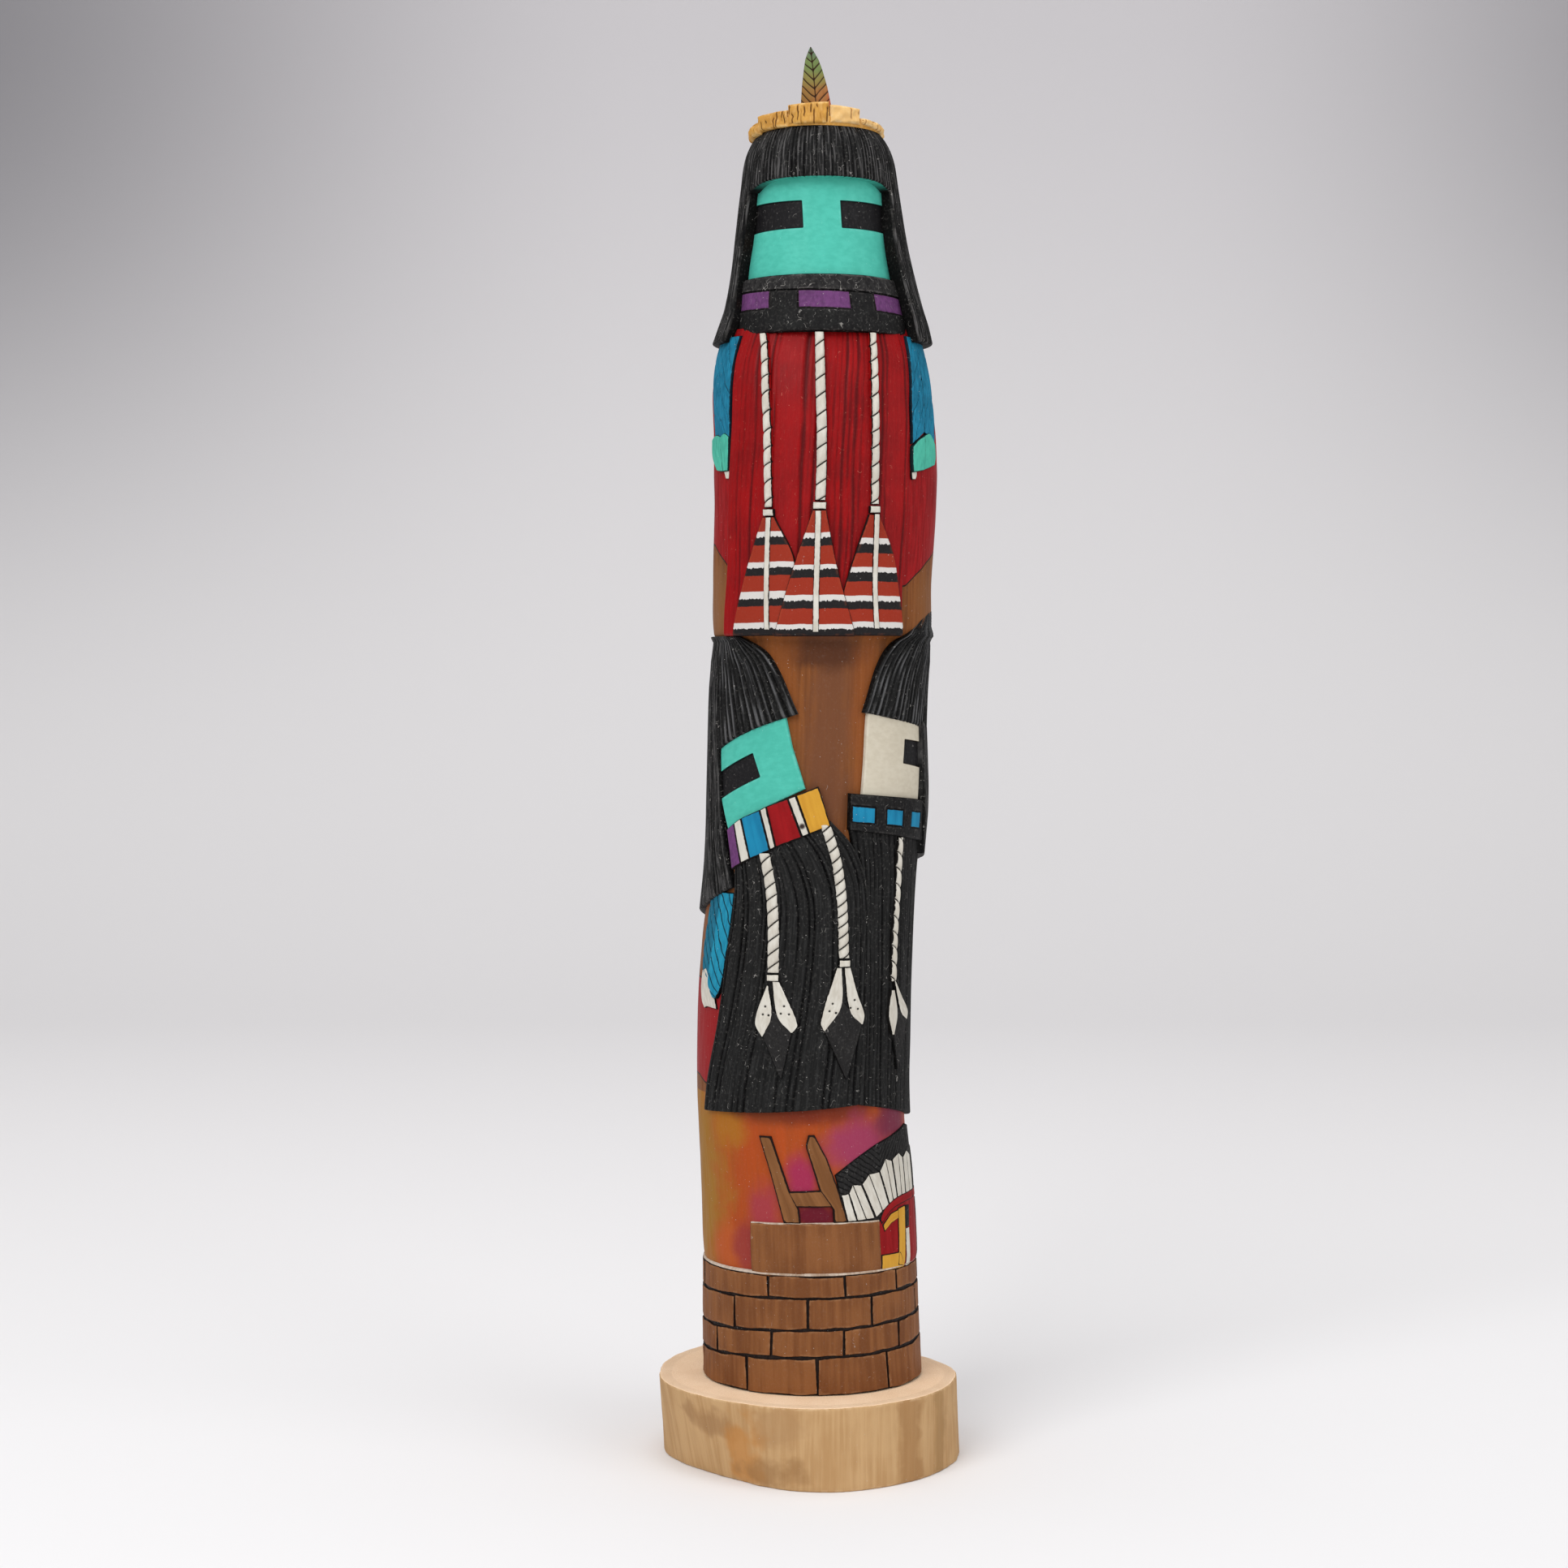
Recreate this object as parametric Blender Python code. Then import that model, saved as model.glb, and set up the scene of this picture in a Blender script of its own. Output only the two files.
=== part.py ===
"""Carved and painted kachina doll standing on a slice of natural wood.

The doll is one carving: a long-haired figure at the top, two heads in profile
below it, a painted evening panel and a brick wall at the foot. Every carved form
is a slab laid on the round trunk: its two long edges are given as (bearing in
degrees, height above the foot) and its lift says how far it stands out.
Bearing 0 faces the front (-Y) and grows towards +X. Metres, +Z up, origin under
the middle of the trunk, on the plane that the slab rests on.
"""
import math

import bmesh
import bpy

MM = 0.001

# Driving dimensions in metres
FIGURE_HEIGHT = 0.403
SLAB_THICKNESS = 0.026
SLAB_SIZE = 0.100
FEATHER_HEIGHT = 0.0232
FEATHER_WIDTH = 0.0098
FEATHER_THICKNESS = 0.0022
FEATHER_SEAT_DEPTH = 0.005
JOINT_GAP = 0.0003
BRICK_JOINT_WIDTH = 0.0009
BRICK_JOINT_DEPTH = 0.0007

# One carving unit is a millimetre on a figure 403 mm high, so the carving keeps
# its proportions when the figure's height changes
UNIT = FIGURE_HEIGHT / 403.0
FOOT = SLAB_THICKNESS + JOINT_GAP

# How far each layer of carving stands out of the trunk, in carving units
LIFT_PANEL = 0.8
LIFT_FACE = 1.6
LIFT_CURTAIN = 2.0
LIFT_BEARD = 2.3
LIFT_CAP = 2.9
LIFT_COLLAR = 3.2
LIFT_CORD = 3.7
LIFT_PLUME = 3.1
LIFT_BLOCK = 1.0
SINK = 3.0
EYE_DEPTH = 0.5
SEGMENTS = 40
WALL_TOP = 38.2
WALL_CHAMFER = 0.9
CROWN_PLATE_TOP = 398.6
CROWN_BLOCK_DEPTH = 8.2

# Sections of the round forms: height above the foot, centre along X, half width
# and half depth, in carving units
TRUNK = [
    (0, 0.2, 33.0, 32.5), (34, 0.0, 33.2, 32.4), (40, -0.1, 34.1, 33.2), (64, -1.2, 33.8, 33.0),
    (84, -2.7, 33.3, 32.6), (109, -2.8, 33.4, 32.2), (134, -1.9, 33.2, 31.6),
    (160, 0.1, 32.4, 30.8), (189, 2.2, 32.6, 30.2), (214, 2.9, 32.2, 29.8),
    (234.6, 3.6, 32.6, 29.8), (237.4, 3.9, 34.6, 31.2), (254, 4.0, 35.0, 31.0),
    (279, 5.0, 35.6, 30.8), (300, 4.8, 35.6, 30.2), (314, 3.8, 34.8, 28.8),
    (324, 3.5, 33.0, 26.0), (334, 3.6, 30.0, 22.6),
]
WALL = [(-1, 0.3, 34.8, 34.8), (38, 0.0, 34.6, 34.6)]
HEAD = [(322, 3.2, 23.4, 23.4), (351, 3.1, 22.5, 22.5), (364, 3.2, 21.0, 21.0), (384, 3.0, 20.2, 20.2)]
HAIR = [
    (329.2, 4.0, 35.4, 31.2), (332, 4.2, 34.6, 30.8), (336, 4.4, 33.4, 30.2),
    (341, 4.4, 31.8, 29.0), (352, 3.9, 29.4, 27.4), (362, 3.4, 27.7, 26.4),
    (379, 3.1, 25.3, 25.0), (388, 3.0, 23.9, 23.6), (394, 3.0, 21.2, 21.0),
    (398, 2.9, 17.5, 17.3),
]
CROWN = [(392, 2.2, 22.1, 21.4), (404, 2.2, 21.7, 21.0)]


def section(stack, height):
    """Centre, half width and half depth of a stack at a height."""
    heights = [row[0] for row in stack]
    height = min(max(height, heights[0]), heights[-1])
    index = 0
    while index < len(stack) - 2 and height >= heights[index + 1]:
        index += 1
    low, high = stack[index], stack[index + 1]
    before = stack[max(index - 1, 0)]
    after = stack[min(index + 2, len(stack) - 1)]
    span = high[0] - low[0]
    t = (height - low[0]) / span
    values = []
    for axis in (1, 2, 3):
        slope_low = (high[axis] - before[axis]) / (high[0] - before[0]) * span
        slope_high = (after[axis] - low[axis]) / (after[0] - low[0]) * span
        values.append(
            (2 * t**3 - 3 * t**2 + 1) * low[axis]
            + (t**3 - 2 * t**2 + t) * slope_low
            + (3 * t**2 - 2 * t**3) * high[axis]
            + (t**3 - t**2) * slope_high
        )
    return values


def on_surface(stack, bearing, height, lift=0.0):
    """World point at a bearing and height, lifted off the section's rim."""
    centre, half_width, half_depth = section(stack, height)
    turn = math.radians(bearing)
    out_x = math.sin(turn) * half_depth
    out_y = -math.cos(turn) * half_width
    length = math.hypot(out_x, out_y)
    x = centre + half_width * math.sin(turn) + out_x / length * lift
    y = -half_depth * math.cos(turn) + out_y / length * lift
    return (x * UNIT, y * UNIT, height * UNIT + FOOT)


def along(edge, steps):
    """Points spaced evenly along an edge given by a few points."""
    lengths = [0.0]
    for (a0, h0), (a1, h1) in zip(edge, edge[1:]):
        lengths.append(lengths[-1] + math.hypot((a1 - a0) * 0.58, h1 - h0))
    points = []
    for step in range(steps + 1):
        target = lengths[-1] * step / steps
        index = 0
        while index < len(edge) - 2 and lengths[index + 1] < target:
            index += 1
        part = lengths[index + 1] - lengths[index]
        t = (target - lengths[index]) / part if part else 0.0
        (a0, h0), (a1, h1) = edge[index], edge[index + 1]
        points.append((a0 + (a1 - a0) * t, h0 + (h1 - h0) * t))
    return points


def new_object(name, bm, collection=None):
    """Turn a bmesh into an object whose faces point outwards."""
    bmesh.ops.recalc_face_normals(bm, faces=bm.faces)
    mesh = bpy.data.meshes.new(name)
    bm.to_mesh(mesh)
    bm.free()
    obj = bpy.data.objects.new(name, mesh)
    (collection or bpy.context.scene.collection).objects.link(obj)
    if collection:
        obj.hide_render = True
        obj.display_type = "WIRE"
    return obj


def closed_grid(name, upper, lower, collection):
    """Close two equal grids of points into one slab."""
    bm = bmesh.new()
    top = [[bm.verts.new(point) for point in row] for row in upper]
    bottom = [[bm.verts.new(point) for point in row] for row in lower]
    rows, columns = len(top), len(top[0])
    for i in range(rows - 1):
        for j in range(columns - 1):
            bm.faces.new((top[i][j], top[i][j + 1], top[i + 1][j + 1], top[i + 1][j]))
            bm.faces.new((bottom[i][j], bottom[i + 1][j], bottom[i + 1][j + 1], bottom[i][j + 1]))
    rim = [(0, j) for j in range(columns)]
    rim += [(i, columns - 1) for i in range(1, rows)]
    rim += [(rows - 1, j) for j in range(columns - 2, -1, -1)]
    rim += [(i, 0) for i in range(rows - 2, 0, -1)]
    for (i0, j0), (i1, j1) in zip(rim, rim[1:] + rim[:1]):
        bm.faces.new((top[i0][j0], bottom[i0][j0], bottom[i1][j1], top[i1][j1]))
    return new_object(name, bm, collection)


def panel(name, stack, left, right, lift, columns, rows, collection, sink=SINK, tuck=0.0):
    """Slab between two edges, from sink below the surface to lift above it.

    lift is one value, or a few that are spread evenly over the rows. tuck turns
    the underside's two edges inwards by so many degrees.
    """
    lifts = list(lift) if isinstance(lift, tuple) else [lift, lift]
    upper, lower = [], []
    for row, ((a0, h0), (a1, h1)) in enumerate(zip(along(left, rows), along(right, rows))):
        step = (len(lifts) - 1) * row / rows
        index = min(int(step), len(lifts) - 2)
        raised = lifts[index] + (lifts[index + 1] - lifts[index]) * (step - index)
        shares = [j / columns for j in range(columns + 1)]
        upper.append([
            on_surface(stack, a0 + (a1 - a0) * t, h0 + (h1 - h0) * t, raised) for t in shares
        ])
        lower.append([
            on_surface(stack, a0 + tuck + (a1 - a0 - 2 * tuck) * t, h0 + (h1 - h0) * t, -sink)
            for t in shares
        ])
    return closed_grid(name, upper, lower, collection)


def strip(name, centre, width, lift, rows, collection):
    """Narrow panel of constant width along a centre line on the trunk."""
    half = math.degrees(width / 2 / TRUNK[0][2])
    left = [(a - half, h) for a, h in centre]
    right = [(a + half, h) for a, h in centre]
    return panel(name, TRUNK, left, right, lift, 1, rows, collection)


def round_body(name, stack, heights, collection=None, lift=0.0):
    """Closed body of oval rings with flat ends."""
    bm = bmesh.new()
    rings = []
    for height in heights:
        ring = []
        for k in range(SEGMENTS):
            ring.append(bm.verts.new(on_surface(stack, 360.0 * k / SEGMENTS, height, lift)))
        rings.append(ring)
    for low, high in zip(rings, rings[1:]):
        for k in range(SEGMENTS):
            n = (k + 1) % SEGMENTS
            bm.faces.new((low[k], low[n], high[n], high[k]))
    bm.faces.new(rings[0])
    bm.faces.new(rings[-1])
    return new_object(name, bm, collection)


def box_cut(name, centre, size, turn, collection):
    """Turned box that cuts a slot or a joint."""
    bm = bmesh.new()
    bmesh.ops.create_cube(bm, size=1.0)
    bmesh.ops.scale(bm, vec=size, verts=bm.verts)
    obj = new_object(name, bm, collection)
    obj.location = centre
    obj.rotation_euler = (0.0, 0.0, turn)
    return obj


def upper_figure(raised, cut):
    """Head with its hair, collar, red beard, three cords and striped feathers."""
    round_body("head", HEAD, [322, 336, 351, 364, 384], raised)
    round_body("hair cap", HAIR, [379.2, 384, 388, 391, 394, 396.2, 398], raised)
    panel("hair curtain", HAIR,
          [(62, 381), (56, 360), (53, 347), (50, 334), (51, 329.2)],
          [(294, 381), (294, 360), (293, 347), (297, 334), (295, 329.2)],
          (-0.3, 0.0), 24, 6, raised, sink=16.0, tuck=31.0)
    panel("back hair", TRUNK, [(118, 331), (124, 262)], [(242, 331), (236, 262)],
          2.0, 10, 3, raised)
    panel("collar", HEAD, [(-96, 349.2), (-96, 332)], [(96, 349.2), (96, 332)],
          (2.1, 3.4), 20, 1, raised)
    panel("left blue feathers", TRUNK, [(-86, 331), (-80, 299), (-71, 289)],
          [(-52, 331), (-52, 298), (-57, 286)], 1.2, 5, 4, raised)
    panel("right blue feathers", TRUNK, [(46, 331), (44, 300), (47, 289)],
          [(86, 331), (82, 300), (66, 290)], 1.2, 6, 4, raised)
    panel("red beard", TRUNK,
          [(-52, 333), (-53.9, 324), (-53.3, 313), (-57.5, 278), (-56.3, 257), (-58.9, 236.6)],
          [(50.5, 333), (51, 324), (48.3, 313.5), (44.8, 290), (44.6, 270), (42.5, 236.6)],
          (0.6, LIFT_BEARD), 13, 7, raised)
    strip("left cord", [(-33, 333), (-28.8, 307), (-28.7, 282), (-27.5, 271)], 3.3, LIFT_CORD, 6, raised)
    strip("middle cord", [(-2, 333), (-1.5, 307), (-3.0, 282), (-3.1, 272)], 3.6, LIFT_CORD, 6, raised)
    strip("right cord", [(27.6, 333), (24.2, 307), (22.9, 282), (23.1, 271)], 3.2, LIFT_CORD, 6, raised)
    panel("left striped feather", TRUNK,
          [(-31.5, 272.8), (-39.5, 257.6), (-48.8, 238.7), (-49.5, 236.5)],
          [(-25.4, 272.8), (-14.1, 259.5), (-15, 245), (-18, 236.5)], LIFT_PLUME, 5, 5, raised)
    panel("right striped feather", TRUNK,
          [(20.5, 273.5), (12.7, 257.3), (9, 247), (11, 236.5)],
          [(25.5, 273.5), (35.9, 260), (40.1, 247.5), (42.5, 236.5)], LIFT_PLUME, 5, 5, raised)
    panel("middle striped feather", TRUNK,
          [(-6.5, 274.3), (-13.6, 259.8), (-24.2, 236.3)],
          [(-0.1, 274.3), (5.4, 259.8), (15.7, 236.3)], LIFT_PLUME + 0.5, 6, 5, raised)
    panel("left eye", HEAD, [(-92, 372.3), (-92, 363.8)], [(-15.4, 372.3), (-14.3, 363.8)],
          1.0, 8, 1, cut, sink=EYE_DEPTH)
    panel("right eye", HEAD, [(16.8, 372.2), (17.7, 364)], [(90, 372.2), (90, 364)],
          1.0, 8, 1, cut, sink=EYE_DEPTH)


def left_head(raised, cut):
    """Profile head on the left with its cap, curtain, collar and black beard."""
    panel("left hair cap", TRUNK, [(-108, 236.4), (-108, 193)],
          [(-48, 236.6), (-39.1, 235.1), (-29.2, 230.3), (-22, 224.7), (-15.9, 218.5), (-11.7, 212.2)],
          (0.6, LIFT_CAP, LIFT_CAP, LIFT_CAP), 10, 6, raised)
    panel("left curtain", TRUNK, [(-110, 196), (-110, 146)],
          [(-64, 204), (-62, 190), (-58, 178), (-52, 168), (-45.7, 157.9)],
          LIFT_CURTAIN, 8, 4, raised)
    panel("left face", TRUNK, [(-66, 204), (-67, 198), (-61.2, 185), (-53, 175)],
          [(-18.5, 212), (-13, 200), (-6.4, 188.5)], LIFT_FACE, 7, 4, raised)
    panel("left collar", TRUNK, [(-51.6, 175.9), (-45.6, 163.3)], [(0.4, 189.7), (7.9, 177.5)],
          LIFT_COLLAR, 8, 2, raised)
    panel("left beard", TRUNK,
          [(-45.5, 166), (-43.8, 156), (-44.2, 142), (-49.4, 115.2), (-58.2, 95.4), (-61.3, 87)],
          [(8, 179), (15.3, 174.9), (24.1, 169.3), (29.8, 162.8), (34.7, 148.8), (36.5, 118.3),
           (33.2, 90.2)],
          LIFT_BEARD, 12, 7, raised)
    panel("left profile eye", TRUNK, [(-64.5, 193.5), (-61.8, 185.4)], [(-37.5, 199.9), (-32.1, 192.6)],
          LIFT_FACE + 1.0, 4, 1, cut, sink=EYE_DEPTH - LIFT_FACE)
    panel("front side feather", TRUNK, [(-55.5, 156), (-57.6, 140), (-60.2, 126), (-55.5, 122)],
          [(-43, 156), (-44.8, 142), (-47.9, 126.7), (-52, 121.6)], 1.3, 2, 4, raised)
    panel("rear side feather", TRUNK, [(-69, 156), (-72, 140), (-72, 122), (-66, 118)],
          [(-53, 156), (-57, 140), (-60, 126), (-57.5, 120)], 0.8, 2, 4, raised)


def right_head(raised, cut):
    """Profile head on the right with its cap, curtain, collar and black beard."""
    panel("right hair cap", TRUNK,
          [(63, 241.8), (49.3, 239), (41.8, 235.6), (36.9, 231.8), (31.4, 226.8), (27, 220.2), (23.9, 212.7)],
          [(107, 243), (107, 204)], (0.5, 2.4, LIFT_CAP, LIFT_CAP), 9, 6, raised)
    panel("right curtain", TRUNK, [(69, 210), (71, 190), (74, 176), (80, 165)],
          [(104, 206), (104, 160)], (LIFT_CURTAIN, 3.2), 4, 3, raised)
    panel("right face", TRUNK, [(27.3, 213.5), (24.3, 185.5)], [(74, 210.5), (74, 183)],
          LIFT_FACE, 7, 3, raised)
    panel("right collar", TRUNK, [(16.9, 187.9), (17.8, 176.5)], [(78, 184.6), (79, 171.2)],
          LIFT_COLLAR, 9, 2, raised)
    panel("right beard", TRUNK, [(18, 178), (25, 160), (30, 120), (30, 89.8)],
          [(92, 174), (95, 140), (94, 110), (90, 83)], LIFT_BEARD - 0.4, 11, 6, raised)
    panel("right profile eye", TRUNK, [(53.4, 204.1), (52, 196.7)], [(70.5, 203.2), (70.8, 195.2)],
          LIFT_FACE + 1.0, 3, 1, cut, sink=EYE_DEPTH - LIFT_FACE)


def lower_cords(raised):
    """Three cords that end in pairs of white feathers with black tips."""
    strip("first lower cord", [(-26, 169.5), (-21.8, 160.5), (-19.5, 154.2), (-17.1, 144.2), (-15.6, 127)],
          4.0, LIFT_CORD, 6, raised)
    strip("second lower cord", [(5, 178.5), (10.8, 169.4), (14, 163), (17.5, 151.7), (20.4, 131.5)],
          3.7, LIFT_CORD, 6, raised)
    strip("third lower cord", [(50, 174), (51, 158.5), (51.3, 143), (52.5, 126.5)], 2.6,
          LIFT_CORD - 0.4, 5, raised)
    white = LIFT_PLUME - 0.1
    black = LIFT_PLUME - 0.4
    for index, (top, height, left, left_tip, right, right_tip, drop) in enumerate((
        (-16.4, 129.4, (-24.1, 116.2), (-20.0, 111.8), (-2.1, 115.8), (-4.8, 113.3), (-10.1, 98.9)),
        (20.0, 133.3, (9.2, 116.5), (11.0, 113.8), (32.8, 118.5), (31.9, 115.5), (23.2, 98.6)),
        (52.8, 128.0, (49.2, 117.0), (53.6, 111.1), (68.6, 117.9), (67.7, 115.4), (58.6, 100.0)),
    )):
        name = "pair %d" % (index + 1)
        waist = left[1] + 2.6
        panel(name + " left petal", TRUNK, [(top - 2.6, height), left, (left_tip[0] - 0.4, left_tip[1])],
              [(top - 0.2, height), (top - 0.4, waist), (left_tip[0] + 0.6, left_tip[1])],
              white, 2, 3, raised)
        panel(name + " right petal", TRUNK,
              [(top + 0.2, height), (top + 1.2, waist), (right_tip[0] - 0.6, right_tip[1])],
              [(top + 2.8, height), right, (right_tip[0] + 0.4, right_tip[1])], white, 2, 3, raised)
        panel(name + " dark tip", TRUNK, [(top - 1.0, waist + 3.0), left_tip, (drop[0] - 0.6, drop[1])],
              [(top + 1.0, waist + 3.0), right_tip, (drop[0] + 0.6, drop[1])], black, 2, 4, raised)


def evening_panel(raised):
    """Ladder and feathered sun disc in low relief above the wall."""
    panel("left rail", TRUNK, [(-23.6, 80.7), (-19.5, 71), (-12.9, 54)],
          [(-16.7, 80.7), (-9, 64), (-4.4, 58), (-4, 54)], LIFT_PANEL, 2, 4, raised)
    panel("right rail", TRUNK, [(3.2, 81.2), (1.4, 77.7), (6.7, 64), (13.3, 58), (13.3, 54)],
          [(6.6, 81.2), (12.2, 73.8), (16.8, 64), (21.2, 54)], LIFT_PANEL, 2, 4, raised)
    panel("ladder rung", TRUNK, [(-9.5, 63.6), (-7, 58.7)], [(10, 64), (14, 58.7)],
          LIFT_PANEL - 0.15, 4, 1, raised)
    panel("sun feathers", TRUNK, [(15.6, 68.6), (30.7, 73.9), (45.6, 77.4), (70.7, 80.9), (96, 79)],
          [(38, 46), (40.6, 52.5), (45.1, 57.2), (54.3, 59.3), (96, 59.3)], 0.5, 3, 8, raised)
    panel("sun disc", TRUNK, [(40.6, 54.2), (45.1, 57.2), (54.3, 59.3), (70.2, 59.4), (96, 59)],
          [(40, 37), (52, 37), (68, 37), (80, 37), (96, 37)], LIFT_PANEL, 2, 6, raised)


def brick_wall(raised, cut):
    """Wall around the foot with its raised block and its scored brick joints."""
    half = BRICK_JOINT_WIDTH / 2 / UNIT
    dent = BRICK_JOINT_DEPTH / UNIT
    courses = [30.2, 20.3, 11.7]
    profile = [(0.0, 0.0)]
    for level in reversed(courses):
        profile += [(level - half, 0.0), (level, -dent), (level + half, 0.0)]
    profile += [(WALL_TOP - WALL_CHAMFER, 0.0), (WALL_TOP, -WALL_CHAMFER)]
    bm = bmesh.new()
    rings = [
        [bm.verts.new(on_surface(WALL, 360.0 * k / SEGMENTS, height, lift)) for k in range(SEGMENTS)]
        for height, lift in profile
    ]
    for low, high in zip(rings, rings[1:]):
        for k in range(SEGMENTS):
            n = (k + 1) % SEGMENTS
            bm.faces.new((low[k], low[n], high[n], high[k]))
    bm.faces.new(rings[0])
    bm.faces.new(rings[-1])
    new_object("wall", bm, raised)
    panel("wall block", TRUNK, [(-31.7, 53.4), (-32.3, 36)], [(40.4, 53.4), (40.8, 36)],
          LIFT_BLOCK, 10, 1, raised)
    levels = [WALL_TOP + 1.0] + courses + [-1.0]
    joints = [
        [-76, -22.7, 18.2, 53, 112, 180, 238],
        [-92, -44.1, -1.8, 32.4, 74, 146, 210],
        [-59.2, -21.4, 16.7, 52.3, 104, 178, 242],
        [-84, -36.1, 2.3, 41.9, 84, 148, 214],
    ]
    for upper, lower, bearings in zip(levels, levels[1:], joints):
        for bearing in bearings:
            place = on_surface(WALL, bearing, (upper + lower) / 2)
            box_cut("brick joint", place,
                    (BRICK_JOINT_WIDTH, 2 * BRICK_JOINT_DEPTH, (upper - lower + half) * UNIT),
                    math.radians(bearing), cut)


def crown(raised, cut):
    """Yellow crown plate with its ring of blocks and the slot of the feather."""
    round_body("crown plate", CROWN, [395.6, CROWN_PLATE_TOP], raised, lift=-0.8)
    blocks = [
        (-62, -27.5, 400.8, 395.3), (-26.5, 10.6, 403.2, 396.0), (11.4, 40.5, 402.1, 396.4),
        (39, 95, 398.9, 395.0), (93.5, 134.5, 400.4, 395.2), (133, 181, 401.8, 395.6),
        (179.5, 227, 400.8, 395.4), (225.5, 265, 399.6, 394.8), (263.5, 300, 398.4, 393.9),
    ]
    for start, end, top, bottom in blocks:
        panel("crown block", CROWN, [(start, top), (start, bottom)], [(end, top), (end, bottom)],
              0.0, max(3, round((end - start) / 12)), 1, raised, sink=CROWN_BLOCK_DEPTH)
    depth = FEATHER_SEAT_DEPTH + 6 * UNIT
    floor_height = feather_foot() - JOINT_GAP
    box_cut("feather slot", (feather_x(), feather_y(), floor_height + depth / 2),
            (FEATHER_WIDTH + 2 * JOINT_GAP, FEATHER_THICKNESS + 2 * JOINT_GAP, depth), 0.0, cut)


def feather_x():
    """Middle of the feather along X."""
    return 1.9 * UNIT


def feather_y():
    """Middle of the feather's thickness, close behind the front crown block."""
    return -(CROWN[0][3] - CROWN_BLOCK_DEPTH) * UNIT + FEATHER_THICKNESS / 2 + 3 * JOINT_GAP


def feather_foot():
    """Height of the feather's foot, sunk into the crown plate."""
    return CROWN_PLATE_TOP * UNIT + FOOT - FEATHER_SEAT_DEPTH


def crown_feather():
    """Small whittled feather: a pointed blade, thicker along its middle."""
    shares = [
        (0.0, 0.0, 0.97), (0.16, 0.0, 1.0), (0.34, -0.005, 0.97), (0.55, -0.05, 0.80),
        (0.74, -0.10, 0.60), (0.88, -0.15, 0.42), (0.96, -0.17, 0.22), (1.0, -0.18, 0.05),
    ]
    foot = feather_foot()
    height = FEATHER_HEIGHT + FEATHER_SEAT_DEPTH
    upper, lower = [], []
    for rise, shift, share in shares:
        z = foot + height * rise
        front, back = [], []
        for across, thick in ((-1, 0.62), (-0.5, 0.85), (0, 1.0), (0.5, 0.85), (1, 0.62)):
            x = feather_x() + FEATHER_WIDTH * (shift + across * share / 2)
            half = FEATHER_THICKNESS / 2 * thick * (1.0 if rise < 0.5 else 1.25 - rise / 2)
            front.append((x, feather_y() - half, z))
            back.append((x, feather_y() + half, z))
        upper.append(front)
        lower.append(back)
    return closed_grid("crown_feather", upper, lower, None)


def base_slab():
    """Slice of a branch, egg-shaped and undercut at its front left."""
    top = [0.474, 0.445, 0.420, 0.425, 0.46, 0.505, 0.52, 0.50, 0.486, 0.478,
           0.486, 0.480, 0.482, 0.498, 0.504, 0.496, 0.489, 0.480]
    lean = [0.0, 0.0, 0.0, 0.0, 0.0, 0.005, 0.01, 0.01, 0.015, 0.022,
            0.055, 0.064, 0.050, 0.016, -0.004, 0.0, 0.006, 0.0]
    steps = 3
    count = len(top)
    rim_top, rim_bottom = [], []
    for k in range(count * steps):
        i, t = divmod(k, steps)
        t /= steps
        turn = math.radians(360.0 * k / (count * steps))
        radii = []
        for values in (top, lean):
            p0, p1, p2, p3 = (values[(i + n) % count] for n in (-1, 0, 1, 2))
            radii.append(0.5 * (2 * p1 + (p2 - p0) * t + (2 * p0 - 5 * p1 + 4 * p2 - p3) * t**2
                                + (3 * p1 - p0 - 3 * p2 + p3) * t**3))
        rim_top.append((turn, radii[0] * SLAB_SIZE))
        rim_bottom.append((turn, (radii[0] - radii[1]) * SLAB_SIZE))
    bevel = 0.5 * MM
    layers = [
        (rim_bottom, 0.0, -bevel), (rim_bottom, bevel, 0.0),
        (rim_top, SLAB_THICKNESS - bevel, 0.0), (rim_top, SLAB_THICKNESS, -bevel),
    ]
    bm = bmesh.new()
    rings = []
    for rim, z, grow in layers:
        rings.append([bm.verts.new((math.cos(a) * (r + grow), math.sin(a) * (r + grow), z)) for a, r in rim])
    for low, high in zip(rings, rings[1:]):
        for k in range(len(low)):
            n = (k + 1) % len(low)
            bm.faces.new((low[k], low[n], high[n], high[k]))
    bm.faces.new(rings[0])
    bm.faces.new(rings[-1])
    return new_object("base_slab", bm)


def finish_with(obj, colour, roughness):
    """Give an object its own plain finish and smooth shading."""
    material = bpy.data.materials.new(obj.name + "_finish")
    material.use_nodes = True
    shader = material.node_tree.nodes["Principled BSDF"]
    shader.inputs["Base Color"].default_value = (*colour, 1.0)
    shader.inputs["Roughness"].default_value = roughness
    shader.inputs["Metallic"].default_value = 0.0
    obj.data.materials.clear()
    obj.data.materials.append(material)
    obj.data.shade_smooth()
    obj.data.set_sharp_from_angle(angle=math.radians(30.0))


def combine(obj, collection, operation):
    """Join or cut a whole collection of slabs with one Boolean.

    The slabs overlap one another, which leaves open edges with the exact
    solver, and all of them are closed, as the manifold solver needs.
    """
    modifier = obj.modifiers.new(operation.title(), "BOOLEAN")
    modifier.operation = operation
    modifier.operand_type = "COLLECTION"
    modifier.collection = collection
    modifier.solver = "MANIFOLD"


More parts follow.
